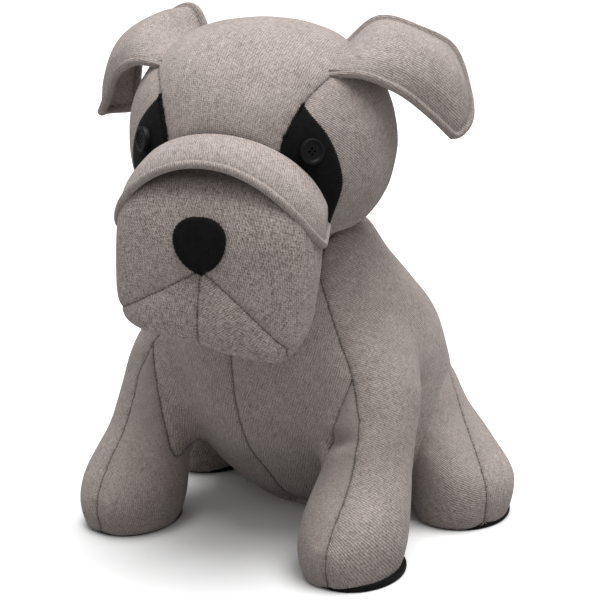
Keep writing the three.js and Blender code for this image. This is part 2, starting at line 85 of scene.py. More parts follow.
# height, front, rear, half width
TORSO = [
    (2, 26, 98, 46),
    (12, 10, 110, 58),
    (28, -6, 117, 66),
    (45, -22, 120, 69),
    (65, -34, 120, 70),
    (85, -39.5, 115, 69),
    (104, -42, 104, 66),
    (122, -41, 86, 60),
    (140, -37, 66, 52),
    (150, -34, 57, 48),
    (TORSO_TOP, -31, 50, 44.5),
]
FRONT_FOOT = (64.5, -33, 26, 32)  # x, y, half width, half length
HIND_FOOT = (78, 60, 26.5, 31)
# height, shift outwards, shift back, width and length as shares of the foot's
FRONT_LEG = [
    (-10, 0, 0, 0.72, 0.74),
    (0, 0, 0, 0.86, 0.87),
    (9, 0, 0, 0.97, 0.97),
    (20, 0, 0.5, 1.0, 1.0),
    (34, 0, 6, 0.93, 0.9),
    (48, -2, 17, 0.87, 0.8),
    (67, -5, 26, 0.93, 0.8),
    (90, -11, 34, 1.0, 0.86),
    (116, -23, 44, 0.84, 0.8),
]
HIND_LEG = [
    (-10, 0, 0, 0.72, 0.74),
    (0, 0, 0, 0.86, 0.87),
    (9, 0, 0, 0.97, 0.97),
    (20, 0, 0, 1.0, 1.0),
    (38, -9, 0, 0.88, 0.92),
    (54, -21, 0, 0.84, 0.87),
    (71, -31, 0, 0.84, 0.87),
    (88, -41, 0, 0.74, 0.8),
]
HIND_SEAM_TURN = 35.0  # degrees ahead of straight out to the side

SIDES = {"left": 1, "right": -1}


# ---------- objects and arrays ----------
def deselect():
    bpy.ops.object.select_all(action="DESELECT")


def activate(obj):
    deselect()
    obj.select_set(True)
    bpy.context.view_layer.objects.active = obj


def points_of(obj):
    co = np.empty(len(obj.data.vertices) * 3)
    obj.data.vertices.foreach_get("co", co)
    return (co.reshape(-1, 3) - MIDDLE) / MM


def put_points(obj, points):
    obj.data.vertices.foreach_set("co", (points * MM + MIDDLE).ravel())
    obj.data.update()


def triangles_of(obj):
    mesh = obj.data
    mesh.calc_loop_triangles()
    found = np.empty(len(mesh.loop_triangles) * 3, dtype=np.int64)
    mesh.loop_triangles.foreach_get("vertices", found)
    return found.reshape(-1, 3)


def new_object(name, points, faces):
    mesh = bpy.data.meshes.new(name)
    mesh.from_pydata((points * MM + MIDDLE).tolist(), [], np.asarray(faces).tolist())
    obj = bpy.data.objects.new(name, mesh)
    bpy.context.scene.collection.objects.link(obj)
    return obj


def modify(obj, kind, **settings):
    activate(obj)
    modifier = obj.modifiers.new(kind.lower(), kind)
    for key, value in settings.items():
        setattr(modifier, key, value)
    bpy.ops.object.modifier_apply(modifier=modifier.name)


def turned(points, degrees, axis="z", at=(0, 0, 0)):
    """The points turned about an axis through a place."""
    c, s = math.cos(math.radians(degrees)), math.sin(math.radians(degrees))
    x, y, z = (points - np.array(at)).T
    if axis == "z":
        x, y = c * x - s * y, s * x + c * y
    else:
        x, z = c * x + s * z, -s * x + c * z
    return np.stack([x, y, z], axis=1) + np.array(at)


def smooth_curve(keys, values, at):
    """Values at new keys on a smooth curve through the given ones."""
    keys, values = np.asarray(keys, float), np.asarray(values, float)
    slopes = np.gradient(values, keys)
    at = np.clip(at, keys[0], keys[-1])
    i = np.clip(np.searchsorted(keys, at) - 1, 0, len(keys) - 2)
    span = keys[i + 1] - keys[i]
    t = (at - keys[i]) / span
    t2, t3 = t * t, t * t * t
    return (
        (2 * t3 - 3 * t2 + 1) * values[i]
        + (t3 - 2 * t2 + t) * span * slopes[i]
        + (3 * t2 - 2 * t3) * values[i + 1]
        + (t3 - t2) * span * slopes[i + 1]
    )


def spline(points, at):
    """A smooth curve through points, at shares of its length from 0 to 1."""
    points = np.asarray(points, float)
    keys = np.concatenate([[0], np.cumsum(np.linalg.norm(np.diff(points, axis=0), axis=1))])
    keys /= keys[-1]
    return np.stack([smooth_curve(keys, points[:, k], at) for k in range(points.shape[1])], axis=1)


def normals_of(points, triangles):
    a, b, c = (points[triangles[:, k]] for k in range(3))
    face = np.cross(b - a, c - a)
    total = np.zeros_like(points)
    for k in range(3):
        for axis in range(3):
            total[:, axis] += np.bincount(
                triangles[:, k], face[:, axis], minlength=len(points)
            )
    return total / np.maximum(np.linalg.norm(total, axis=1, keepdims=True), 1e-12)


# ---------- stuffed bodies ----------
def ball(segments=48, rings=32):
    deselect()
    bpy.ops.mesh.primitive_uv_sphere_add(segments=segments, ring_count=rings, radius=1)
    return bpy.context.object


def unit_points(obj):
    co = np.empty(len(obj.data.vertices) * 3)
    obj.data.vertices.foreach_get("co", co)
    return co.reshape(-1, 3)


def rounded(at, half_width, front, rear, up, down, plan, upper, lower):
    """A rounded body; exponents above 2 make its plan and side view squarer."""
    obj = ball()
    v = unit_points(obj)
    side = np.where(v[:, 2] > 0, upper, lower)
    across = (abs(v[:, 0]) ** plan + abs(v[:, 1]) ** plan) ** (1 / plan)
    v = v / ((across**side + abs(v[:, 2]) ** side) ** (1 / side))[:, None]
    v[:, 0] *= half_width
    v[:, 1] *= np.where(v[:, 1] < 0, front, rear)
    v[:, 2] *= np.where(v[:, 2] > 0, up, down)
    put_points(obj, v + np.array(at))
    return obj


def lofted(sections, cap=0.12):
    """A closed body through horizontal ellipses: rows of height, x, y, half width, half length."""
    obj = ball(rings=64)
    v = unit_points(obj)
    polar = np.arccos(np.clip(-v[:, 2], -1, 1)) / math.pi
    share = np.clip((polar - cap) / (1 - 2 * cap), 0, 1)
    close = np.sin(np.clip(np.minimum(polar, 1 - polar) / cap, 0, 1) * math.pi / 2)
    around = np.arctan2(v[:, 1], v[:, 0])
    rows = np.array(sections, float)
    z = rows[0, 0] + share * (rows[-1, 0] - rows[0, 0])
    x, y, a, b = (smooth_curve(rows[:, 0], rows[:, k], z) for k in (1, 2, 3, 4))
    put_points(
        obj,
        np.stack(
            [x + a * close * np.cos(around), y + b * close * np.sin(around), z], axis=1
        ),
    )
    return obj


def joined(objects):
    activate(objects[0])
    for obj in objects[1:]:
        obj.select_set(True)
    if len(objects) > 1:
        bpy.ops.object.join()
    return bpy.context.object


def stuffed(obj, cap, seam_field, smooth, size=BODY_MESH):
    """Fills the body: an even mesh, pressure from inside with its seams held, and two subdivisions."""
    modify(obj, "REMESH", mode="VOXEL", voxel_size=size * MM, adaptivity=0)
    modify(obj, "SMOOTH", factor=0.5, iterations=smooth)
    inflate(obj, cap, seam_field, size)
    modify(obj, "SUBSURF", levels=2, render_levels=2)
    points, triangles = points_of(obj), triangles_of(obj)
    bpy.data.objects.remove(obj)
    return points, triangles


def inflate(obj, cap, seam_field, size):
    before = points_of(obj)
    group = obj.vertex_groups.new(name="seams")
    near = np.min(np.abs(seam_field(before)), axis=1)
    held = np.clip(1 - near / (1.2 * size), 0, 1)
    for i, weight in enumerate(held):
        if weight > 0:
            group.add([i], float(weight), "REPLACE")
    activate(obj)
    cloth = obj.modifiers.new("cloth", "CLOTH")
    settings = cloth.settings
    settings.quality = 6
    settings.mass = 0.2
    settings.tension_stiffness = 20
    settings.compression_stiffness = 20
    settings.bending_stiffness = 0.6
    settings.use_pressure = True
    settings.uniform_pressure_force = 4
    settings.effector_weights.gravity = 0
    settings.vertex_group_mass = "seams"
    settings.pin_stiffness = 1.0
    cloth.collision_settings.use_collision = False
    cloth.point_cache.frame_start = 1
    cloth.point_cache.frame_end = 20
    scene = bpy.context.scene
    for number in range(1, 21):
        scene.frame_set(number)
    bpy.ops.object.modifier_apply(modifier=cloth.name)
    scene.frame_set(1)
    moved = points_of(obj) - before
    length = np.linalg.norm(moved, axis=1, keepdims=True)
    put_points(obj, before + moved * np.minimum(1, cap / np.maximum(length, 1e-9)))


# ---------- cutting panels ----------
class Skin:
    """A triangle mesh with named fields, each of them zero along a seam."""

    def __init__(self, points, triangles, fields):
        self.points, self.triangles = points, triangles
        self.names = list(fields)
        self.fields = np.stack([fields[name] for name in self.names], axis=1)

    def field(self, name):
        return self.fields[:, self.names.index(name)]

    def side(self, name):
        """For each triangle, whether the field is below zero there."""
        return self.field(name)[self.triangles].sum(axis=1) < 0

    def cut(self, name, snap=0.2):
        """Splits the triangles that the field's zero line crosses."""
        column = self.names.index(name)
        f = self.fields[:, column]
        f[abs(f) < snap] = 0
        sign = np.sign(f).astype(int)
        t, count = self.triangles, len(self.points)
        signs = sign[t]
        pairs = np.sort(np.concatenate([t[:, [0, 1]], t[:, [1, 2]], t[:, [2, 0]]]), axis=1)
        pairs = pairs[sign[pairs[:, 0]] * sign[pairs[:, 1]] < 0]
        if not len(pairs):
            return
        pairs = np.unique(pairs, axis=0)
        a, b = pairs.T
        share = (f[a] / (f[a] - f[b]))[:, None]
        keys = a * count + b
        self.points = np.vstack([self.points, self.points[a] * (1 - share) + self.points[b] * share])
        added = self.fields[a] * (1 - share) + self.fields[b] * share
        added[:, column] = 0
        self.fields = np.vstack([self.fields, added])

        def between(p, q):
            return count + np.searchsorted(keys, np.minimum(p, q) * count + np.maximum(p, q))

        low, high = signs.min(axis=1), signs.max(axis=1)
        crossed = (low < 0) & (high > 0)
        kept = [t[~crossed]]
        one = crossed & (signs == 0).any(axis=1)
        if one.any():
            rolled = roll_to(t[one], (signs[one] == 0).argmax(axis=1))
            m = between(rolled[:, 1], rolled[:, 2])
            kept += [
                np.stack([rolled[:, 0], rolled[:, 1], m], axis=1),
                np.stack([rolled[:, 0], m, rolled[:, 2]], axis=1),
            ]
        two = crossed & ~one
        if two.any():
            s = signs[two]
            lone = (s == -np.sign(s.sum(axis=1))[:, None]).argmax(axis=1)
            rolled = roll_to(t[two], lone)
            p, q, r = rolled.T
            m, n = between(p, q), between(p, r)
            kept += [np.stack(x, axis=1) for x in ((p, m, n), (m, q, r), (m, r, n))]
        self.triangles = np.vstack(kept)


def roll_to(triangles, first):
    """The triangles, each started from the corner that first gives."""
    order = (first[:, None] + np.arange(3)) % 3
    return np.take_along_axis(triangles, order, axis=1)


def seam_edges(triangles, labels):
    """Edges between panels: rows of two points, and the two panels' labels."""
    edges = np.concatenate([triangles[:, [0, 1]], triangles[:, [1, 2]], triangles[:, [2, 0]]])
    edges = np.sort(edges, axis=1)
    owner = np.tile(labels, 3)
    order = np.lexsort((edges[:, 1], edges[:, 0]))
    edges, owner = edges[order], owner[order]
    same = (edges[1:] == edges[:-1]).all(axis=1) & (owner[1:] != owner[:-1])
    pair = np.sort(np.stack([owner[1:][same], owner[:-1][same]], axis=1), axis=1)
    return edges[1:][same], pair


def run_lengths(points, edges):
    """Walks the edges of one seam: for each edge, how far along the seam its two ends are."""
    links = {}
    for number, (a, b) in enumerate(edges.tolist()):
        links.setdefault(a, []).append((number, b))
        links.setdefault(b, []).append((number, a))
    runs = np.zeros((len(edges), 2))
    done = set()
    starts = [p for p in links if len(links[p]) == 1] + list(links)
    for start in starts:
        here, run = start, 0.0
        while True:
            ahead = [(n, p) for n, p in links[here] if n not in done]
            if not ahead:
                break
            number, there = ahead[0]
            done.add(number)
            length = float(np.linalg.norm(points[here] - points[there]))
            first = edges[number][0] == here
            runs[number] = (run, run + length) if first else (run + length, run)
            here, run = there, run + length
    return runs


def sew(skin, labels, depth=SEAM_DEPTH, width=SEAM_WIDTH, skip=()):
    """Draws the cloth in along its seams. Returns each point's distance from a seam and its run."""
    edges, pair = seam_edges(skin.triangles, labels)
    samples, runs = [], []
    for key in np.unique(pair, axis=0):
        if tuple(key) in skip:
            continue
        chosen = edges[(pair == key).all(axis=1)]
        run = run_lengths(skin.points, chosen)
        for share in (0.0, 0.25, 0.5, 0.75, 1.0):
            samples.append(skin.points[chosen[:, 0]] * (1 - share) + skin.points[chosen[:, 1]] * share)
            runs.append(run[:, 0] * (1 - share) + run[:, 1] * share)
    samples, runs = np.vstack(samples), np.concatenate(runs)
    tree = kdtree.KDTree(len(samples))
    for i, p in enumerate(samples):
        tree.insert(p, i)
    tree.balance()
    near = np.empty(len(skin.points))
    run = np.empty(len(skin.points))
    for i, p in enumerate(skin.points):
        _, index, distance = tree.find(p)
        near[i], run[i] = distance, runs[index]
    pucker = 1 + 0.3 * np.sin(run * 2 * math.pi / 6.3) * np.sin(run * 0.37)
    broad = 0.45 * depth * np.exp(-((near / (3.2 * width)) ** 2))
    drawn = depth * pucker * np.exp(-near / width) + broad
    skin.points = skin.points - normals_of(skin.points, skin.triangles) * drawn[:, None]
    return near, run


def uneven(points, triangles, amount, size, seed):
    """Soft handmade unevenness along the normals."""
    shift = Vector((seed, 2.3 * seed, 0.7 * seed))
    wave = np.array([noise.noise(Vector(p / size) + shift) for p in points])
    return points + normals_of(points, triangles) * (amount * wave)[:, None]


# ---------- pieces ----------
def piece(name, points, triangles, body, nodes=(), attributes=None, head=False, thick=CLOTH):
    """One panel as a closed piece of cloth at its place, with its own flat pattern as UV map."""
    used, local = np.unique(triangles, return_inverse=True)
    points = points[used]
    if head:
        points = turned(points, HEAD_YAW)
    obj = new_object(name + "_sewn", points, local.reshape(-1, 3))
    for key, values in (attributes or {}).items():
        layer = obj.data.attributes.new(key, "FLOAT", "POINT")
        layer.data.foreach_set("value", values[used].astype(np.float32))
    obj.data.shade_smooth()
    flat_pattern(obj)
    if thick:
        modify(obj, "SOLIDIFY", thickness=thick * MM, offset=-1.0)
    if body:
        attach(obj, body)
    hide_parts(*nodes)
    return obj


def flat_pattern(obj):
    """Unwraps the piece, then scales the pattern to metres and sets its grain upright."""
    activate(obj)
    bpy.ops.object.mode_set(mode="EDIT")
    bpy.ops.mesh.select_all(action="SELECT")
    bpy.ops.uv.unwrap(method="CONFORMAL", margin=0.0)
    bpy.ops.object.mode_set(mode="OBJECT")
    mesh = obj.data
    layer = mesh.uv_layers.active
    uv = np.empty(len(mesh.loops) * 2)
    layer.uv.foreach_get("vector", uv)
    uv = uv.reshape(-1, 3, 2)
    p = points_of(obj)[triangles_of(obj)] * MM
    e1, e2 = p[:, 1] - p[:, 0], p[:, 2] - p[:, 0]
    d1, d2 = uv[:, 1] - uv[:, 0], uv[:, 2] - uv[:, 0]
    flat = abs(d1[:, 0] * d2[:, 1] - d1[:, 1] * d2[:, 0])
    area = np.linalg.norm(np.cross(e1, e2), axis=1)
    good = (flat > 0) & (area > 0)
    scale = np.sqrt(np.median(area[good] / flat[good]))
    rise = np.array([0.0, 0.0])
    for e, d in ((e1, d1), (e2, d2)):
        rise += (d * e[:, 2:3]).sum(axis=0)
    turn = math.pi / 2 - math.atan2(rise[1], rise[0])
    c, s = math.cos(turn) * scale, math.sin(turn) * scale
    uv = uv.reshape(-1, 2)
    uv = np.stack([c * uv[:, 0] - s * uv[:, 1], s * uv[:, 0] + c * uv[:, 1]], axis=1)
    layer.uv.foreach_set("vector", uv.ravel())


# ---------- materials ----------
def node(tree, kind, place=(0, 0), **settings):
    made = tree.nodes.new(kind)
    made.location = place
    for key, value in settings.items():
        setattr(made, key, value)
    return made


def maths(tree, operation, a, b=None, clamp=False):
    made = node(tree, "ShaderNodeMath", operation=operation, use_clamp=clamp)
    for socket, value in zip(made.inputs, (a, b)):
        if value is None:
            continue
        if isinstance(value, (int, float)):
            socket.default_value = value
        else:
            tree.links.new(value, socket)
    return made.outputs[0]


def noise_value(tree, vector, scale, detail=2.0, stretch=(1, 1, 1)):
    mapping = node(tree, "ShaderNodeMapping")
    mapping.inputs["Scale"].default_value = stretch
    tree.links.new(vector, mapping.inputs["Vector"])
    texture = node(tree, "ShaderNodeTexNoise")
    texture.inputs["Scale"].default_value = scale
    texture.inputs["Detail"].default_value = detail
    tree.links.new(mapping.outputs[0], texture.inputs["Vector"])
    return texture.outputs["Fac"]


def group_tree(name, inputs, outputs):
    tree = bpy.data.node_groups.new(name, "ShaderNodeTree")
    for label, kind, value in inputs:
        socket = tree.interface.new_socket(label, in_out="INPUT", socket_type=kind)
        if value is not None:
            socket.default_value = value
    for label in outputs:
        tree.interface.new_socket(label, in_out="OUTPUT", socket_type="NodeSocketFloat")
    return tree, node(tree, "NodeGroupInput", (-900, 0)), node(tree, "NodeGroupOutput", (900, 0))


def weave_group():
    """Twill cloth on a pattern in metres: its tone, from dark to light, and the height of its ribs."""
    tree, given, made = group_tree(
        "twill_weave",
        [
            ("Pattern", "NodeSocketVector", None),
            ("Rib", "NodeSocketFloat", 0.0012),
            ("Slope", "NodeSocketFloat", 0.6),
            ("Flecks", "NodeSocketFloat", 1.0),
        ],
        ["Tone", "Height"],
    )
    pattern = given.outputs["Pattern"]
    split = node(tree, "ShaderNodeSeparateXYZ")
    tree.links.new(pattern, split.inputs[0])
    x, y = split.outputs[0], split.outputs[1]
    wander = noise_value(tree, pattern, 160.0, 2.0)
    along = maths(tree, "ADD", x, maths(tree, "MULTIPLY", y, given.outputs["Slope"]))
    turns = maths(tree, "DIVIDE", along, given.outputs["Rib"])
    turns = maths(tree, "ADD", turns, maths(tree, "MULTIPLY", wander, 1.6))
    rib = maths(tree, "SINE", maths(tree, "MULTIPLY", turns, 2 * math.pi))
    across = maths(tree, "DIVIDE", maths(tree, "SUBTRACT", y, maths(tree, "MULTIPLY", x, 0.35)), given.outputs["Rib"])
    thread = maths(tree, "SINE", maths(tree, "MULTIPLY", across, 2 * math.pi * 1.15))
    height = maths(tree, "ADD", maths(tree, "MULTIPLY", rib, 0.36), maths(tree, "MULTIPLY", thread, 0.1))
    height = maths(tree, "ADD", height, 0.5)

    def spread(stretch, scale, detail, weight):
        """A noise about zero."""
        value = noise_value(tree, pattern, scale, detail, stretch)
        return maths(tree, "MULTIPLY", maths(tree, "SUBTRACT", value, 0.5), weight)

    # Darker and paler yarns: long threads up the cloth, shorter ones across it, and single fibres.
    fleck = maths(tree, "ADD", spread((1500, 230, 1), 1.0, 2.0, 0.85), spread((260, 1500, 1), 1.0, 2.0, 0.75))
    fleck = maths(tree, "ADD", fleck, spread((1, 1, 1), 1300.0, 2.0, 0.9))
    fleck = maths(tree, "MULTIPLY", fleck, given.outputs["Flecks"])
    tone = maths(tree, "ADD", maths(tree, "MULTIPLY", height, 0.34), 0.38)
    for part in (fleck, spread((1, 1, 1), 60.0, 4.0, 0.3)):
        tone = maths(tree, "ADD", tone, part)
    tree.links.new(maths(tree, "MULTIPLY", tone, 1.0, clamp=True), made.inputs["Tone"])
    tree.links.new(height, made.inputs["Height"])
    return tree


def seam_shade_group():
    """Painted shade in a seam's crease and at its stitch holes, from the distance to the seam and the run along it."""
    tree, given, made = group_tree(
        "seam_painted_shade",
        [
            ("Distance", "NodeSocketFloat", 10.0),
            ("Run", "NodeSocketFloat", 0.0),
            ("Stitch", "NodeSocketFloat", 1.9),
            ("Holes", "NodeSocketFloat", 0.5),
        ],
        ["Dark"],
    )
    crease_shade = maths(tree, "EXPONENT", maths(tree, "MULTIPLY", given.outputs["Distance"], -2.6))
    soft = maths(tree, "EXPONENT", maths(tree, "MULTIPLY", given.outputs["Distance"], -0.55))
    turn = maths(tree, "MULTIPLY", maths(tree, "DIVIDE", given.outputs["Run"], given.outputs["Stitch"]), 2 * math.pi)
    hole = maths(tree, "ADD", maths(tree, "MULTIPLY", maths(tree, "SINE", turn), 0.5), 0.5)
    hole = maths(tree, "MULTIPLY", maths(tree, "POWER", hole, 1.5), given.outputs["Holes"])
    stitch_hole_shade = maths(tree, "MULTIPLY", hole, maths(tree, "EXPONENT", maths(tree, "MULTIPLY", given.outputs["Distance"], -1.5)))
    # Painted shade: a sharp dark line in the seam's crease and a faint broad one beside it, plus the stitch holes'
    # painted shade.
    dark = maths(tree, "ADD", maths(tree, "MULTIPLY", crease_shade, 0.36), maths(tree, "MULTIPLY", soft, 0.06))
    dark = maths(tree, "ADD", dark, stitch_hole_shade, clamp=True)
    tree.links.new(dark, made.inputs["Dark"])
    return tree


WEAVE, SEAM = weave_group(), seam_shade_group()
DARK_YARN = (0.105, 0.082, 0.076, 1)
PALE_YARN = (0.53, 0.463, 0.43, 1)


def mixed(tree, factor, first, second):
    made = node(tree, "ShaderNodeMix", data_type="RGBA")
    tree.links.new(factor, made.inputs[0])
    for socket, value in ((made.inputs[6], first), (made.inputs[7], second)):
        if isinstance(value, tuple):
            socket.default_value = value
        else:
            tree.links.new(value, socket)
    return made.outputs[2]


def material(name):
    made = bpy.data.materials.new(name)
    made.use_nodes = True
    return made, made.node_tree, made.node_tree.nodes["Principled BSDF"]


def cloth_material(name, slope=0.6, rib=0.0012, holes=0.35, stitch=1.9, shade=1.0, flecks=1.0):
    made, tree, shader = material(name)
    uv = node(tree, "ShaderNodeUVMap")
    weave = node(tree, "ShaderNodeGroup", node_tree=WEAVE)
    tree.links.new(uv.outputs[0], weave.inputs["Pattern"])
    weave.inputs["Rib"].default_value = rib
    weave.inputs["Slope"].default_value = slope
    weave.inputs["Flecks"].default_value = flecks
    seam = node(tree, "ShaderNodeGroup", node_tree=SEAM)
    for label, key in (("Distance", "seam_near"), ("Run", "seam_run")):
        attribute = node(tree, "ShaderNodeAttribute", attribute_name=key)
        tree.links.new(attribute.outputs["Fac"], seam.inputs[label])
    seam.inputs["Stitch"].default_value = stitch
    seam.inputs["Holes"].default_value = holes
    pale = tuple(c * shade for c in PALE_YARN[:3]) + (1,)
    yarn = mixed(tree, weave.outputs["Tone"], DARK_YARN, pale)
    # Painted shade: the yarn is mixed towards near black in the seam's crease and stitch holes; holes sets how dark the
    # holes' painted shade is.
    colour = mixed(tree, seam.outputs["Dark"], yarn, (0.03, 0.026, 0.024, 1))
    tree.links.new(colour, shader.inputs["Base Color"])
    rough = maths(tree, "ADD", maths(tree, "MULTIPLY", weave.outputs["Tone"], -0.12), 0.95)
    tree.links.new(rough, shader.inputs["Roughness"])
    shader.inputs["Sheen Weight"].default_value = 0.12
    shader.inputs["Sheen Roughness"].default_value = 0.5
    shader.inputs["Specular IOR Level"].default_value = 0.2
    bump = node(tree, "ShaderNodeBump")
    bump.inputs["Strength"].default_value = 0.55
    bump.inputs["Distance"].default_value = 0.00035
    tree.links.new(weave.outputs["Height"], bump.inputs["Height"])
    tree.links.new(bump.outputs[0], shader.inputs["Normal"])
    return made


def felt_material(name):
    made, tree, shader = material(name)
    place = node(tree, "ShaderNodeTexCoord")
    fibres = noise_value(tree, place.outputs["Object"], 1600.0, 4.0)
    clumps = noise_value(tree, place.outputs["Object"], 320.0, 3.0)
    tone = maths(tree, "MULTIPLY", fibres, clumps)
    colour = mixed(tree, maths(tree, "MULTIPLY", tone, 2.2, clamp=True), (0.0014, 0.0014, 0.0015, 1), (0.0075, 0.0073, 0.0076, 1))
    tree.links.new(colour, shader.inputs["Base Color"])
    rough = maths(tree, "ADD", maths(tree, "MULTIPLY", fibres, 0.1), 0.88)
    tree.links.new(rough, shader.inputs["Roughness"])
    shader.inputs["Sheen Weight"].default_value = 0.05
    shader.inputs["Specular IOR Level"].default_value = 0.12
    bump = node(tree, "ShaderNodeBump")
    bump.inputs["Strength"].default_value = 0.6
    bump.inputs["Distance"].default_value = 0.0004
    tree.links.new(tone, bump.inputs["Height"])
    tree.links.new(bump.outputs[0], shader.inputs["Normal"])
    return made


def plastic_material(name):
    made, tree, shader = material(name)
    place = node(tree, "ShaderNodeTexCoord")
    wear = noise_value(tree, place.outputs["Object"], 700.0, 4.0)
    colour = mixed(tree, wear, (0.0012, 0.0012, 0.0014, 1), (0.004, 0.004, 0.0045, 1))
    tree.links.new(colour, shader.inputs["Base Color"])
    rough = maths(tree, "ADD", maths(tree, "MULTIPLY", wear, 0.25), 0.42)
    tree.links.new(rough, shader.inputs["Roughness"])
    shader.inputs["Specular IOR Level"].default_value = 0.22
    bump = node(tree, "ShaderNodeBump")
    bump.inputs["Strength"].default_value = 0.15
    bump.inputs["Distance"].default_value = 0.0001
    tree.links.new(wear, bump.inputs["Height"])
    tree.links.new(bump.outputs[0], shader.inputs["Normal"])
    return made


def dressed(obj, made):
    obj.data.materials.clear()
    obj.data.materials.append(made)
    return obj


# ---------- head ----------
# Half width of the forehead panel, by the angle over the head from straight ahead.
FOREHEAD_TURN = [-20, -10, 5.4, 29.6, 53.6, 84.8, 114, 139, 169, 196, 221, 250]
FOREHEAD_HALF = [25, 26, 27.5, 35, 43.5, 45.5, 39, 34.5, 31, 28.5, 26, 22]
MUZZLE_REAR = -61.5
NOSE_LOW = 161.0
CHIN_CORNER = (44.0, 131.0)
MUZZLE_CORNER = (42.0, -90.0, 126.0)


def muzzle_skewed(p, direction=1):
    """Slopes and narrows the muzzle's lower half on the dog's left, or undoes it with -1."""
    wide, down = MUZZLE_SIZE[0], MUZZLE_SIZE[4]
    low = np.clip((MUZZLE_AT[2] - p[:, 2]) / down, 0, 1)
    across = p[:, 0] - MUZZLE_AT[0]
    q = p.copy()
    q[:, 0] -= direction * MUZZLE_TAPER * low * (across + wide) / 2
    q[:, 2] -= direction * MUZZLE_SKEW * low * across
    return q


def muzzle_straight(p):
    """Points of the muzzle as they are before it is rolled and skewed."""
    return muzzle_skewed(turned(p, -MUZZLE_ROLL, "y", MUZZLE_AT), -1)


def head_fields(p):
    x, y, z = p.T
    turn = np.degrees(np.arctan2(z - HEAD_AT[2], HEAD_AT[1] - y))
    turn = np.where(turn < -100, turn + 360, turn)
    forehead = abs(x) - smooth_curve(FOREHEAD_TURN, FOREHEAD_HALF, turn)
    arch = np.where(
        z > MUZZLE_AT[2],
        (np.hypot(x / 50, (z - MUZZLE_AT[2]) / 51) - 1) * 50,
        abs(x) - 58,
    )
    muzzle = np.maximum(arch, y - MUZZLE_REAR)
    m = muzzle_straight(p)
    run, fall = CHIN_CORNER[0], NOSE_LOW - CHIN_CORNER[1]
    slope = (m[:, 2] - NOSE_LOW + abs(m[:, 0]) * fall / run) * run / math.hypot(run, fall)
    chin = np.maximum(slope, abs(m[:, 0]) - run)
    ball_gap = np.linalg.norm(p - np.array([0, 0, NECK_HEIGHT]), axis=1) - NECK_BALL
    return {
        "forehead": forehead,
        "muzzle": muzzle,
        "chin": chin,
        "middle": m[:, 0],
        "lip": z - LIP,
        "opening": ball_gap,
    }


def head_seams(p):
    f = head_fields(p)
    on_muzzle = f["muzzle"] < 0
    chin = np.where(on_muzzle, f["chin"], 99)
    middle = np.where(on_muzzle & (f["chin"] < 0), f["middle"], 99)
    forehead = np.where(on_muzzle, 99, f["forehead"])
    return np.stack([forehead, f["muzzle"], chin, middle], axis=1)


def head_skin():
    width, front, rear, rise = HEAD_HALF
    dome = rounded(HEAD_AT, width, front, rear, rise, rise, 2.1, 2.2, 2.1)
    p = points_of(dome)
    turn_under = HEAD_FLOOR - HEAD_UNDERSIDE
    below = p[:, 2] < HEAD_FLOOR
    fall = (HEAD_FLOOR - p[below, 2]) / turn_under
    p[below, 2] = HEAD_FLOOR - turn_under * (1 - np.exp(-fall))
    put_points(dome, p)
    muzzle = rounded(MUZZLE_AT, *MUZZLE_SIZE, 3.6, 3.1, 5.5)
    put_points(muzzle, turned(muzzle_skewed(points_of(muzzle)), MUZZLE_ROLL, "y", MUZZLE_AT))
    points, triangles = stuffed(joined([dome, muzzle]), 1.6, head_seams, 3, HEAD_MESH)
    points = uneven(points, triangles, 0.7, 22.0, 3.1)
    # The chin's lower corners poke out where three panels meet.
    for side, share in ((1, 1.0), (-1, 0.3)):
        x, y, z = MUZZLE_CORNER
        away = np.linalg.norm(muzzle_straight(points) - np.array([side * x, y, z]), axis=1)
        out = share * np.array([2.2 * side, -1.0, -2.6])
        points = points + np.exp(-((away / 13) ** 2))[:, None] * out
    return Skin(points, triangles, head_fields(points))


def build_head():
    skin = head_skin()
    for name in ("muzzle", "forehead", "chin", "middle", "lip", "opening"):
        skin.cut(name)
    in_muzzle, in_forehead = skin.side("muzzle"), skin.side("forehead")
    left = ~skin.side("middle")
    below = skin.side("lip") & ~in_muzzle & (skin.points[skin.triangles][:, :, 1].mean(axis=1) > -57)
    labels = np.where(left, 1, 2)
    labels[in_forehead] = 3
    labels[below] = 4
    labels[in_muzzle] = 5
    in_chin = in_muzzle & skin.side("chin")
    labels[in_chin] = np.where(left, 6, 7)[in_chin]
    labels[skin.side("opening") & ~in_muzzle] = 0
    kept = labels > 0
    skin.triangles, labels = skin.triangles[kept], labels[kept]
    smooth_pairs = {(1, 4), (2, 4), (3, 4)}
    near, run = sew(skin, labels, skip=smooth_pairs)
    attributes = {"seam_near": near, "seam_run": run}
    names = {
        1: ("head_side_left", ["head_side_left"], 0.75, 0.94),
        2: ("head_side_right", ["head_side_right"], -0.75, 0.94),
        3: ("forehead_panel", ["forehead_panel", "head_filling"], 0.5, 1.0),
        4: ("neck_gather", [], 0.6, 0.94),
        5: ("muzzle_panel", ["muzzle_panel"], 0.6, 0.95),
        6: ("chin_panel_left", ["chin_panel_left"], -0.5, 0.98),
        7: ("chin_panel_right", ["chin_panel_right"], 0.5, 0.98),
    }
    for label, (name, nodes, slope, shade) in names.items():
        body = None if label == 4 else "head"
        flecks = 1.45 if label in (5, 6, 7) else 1.05
        made = piece(
            name, skin.points, skin.triangles[labels == label], body, nodes, attributes, head=True
        )
        dressed(made, cloth_material(name + "_cloth", slope=slope, shade=shade, flecks=flecks))
        if label == 4:
            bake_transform(made)
    return skin


# ---------- felt sewn on the head ----------
# The eye patch, from its top corner down: its outer edge and its inner edge.
EYE_OUTER = [(34, 232), (46, 217), (51.5, 197), (43, 171)]
EYE_INNER = [(34, 232), (27, 211), (27.5, 198), (43, 171)]


def eye_outline(sign):
    steps = np.linspace(0, 1, 20)
    outer, inner = spline(EYE_OUTER, steps), spline(EYE_INNER, steps)
    ring = np.vstack([outer, inner[-2:0:-1]])
    ring[:, 0] *= sign
    return ring


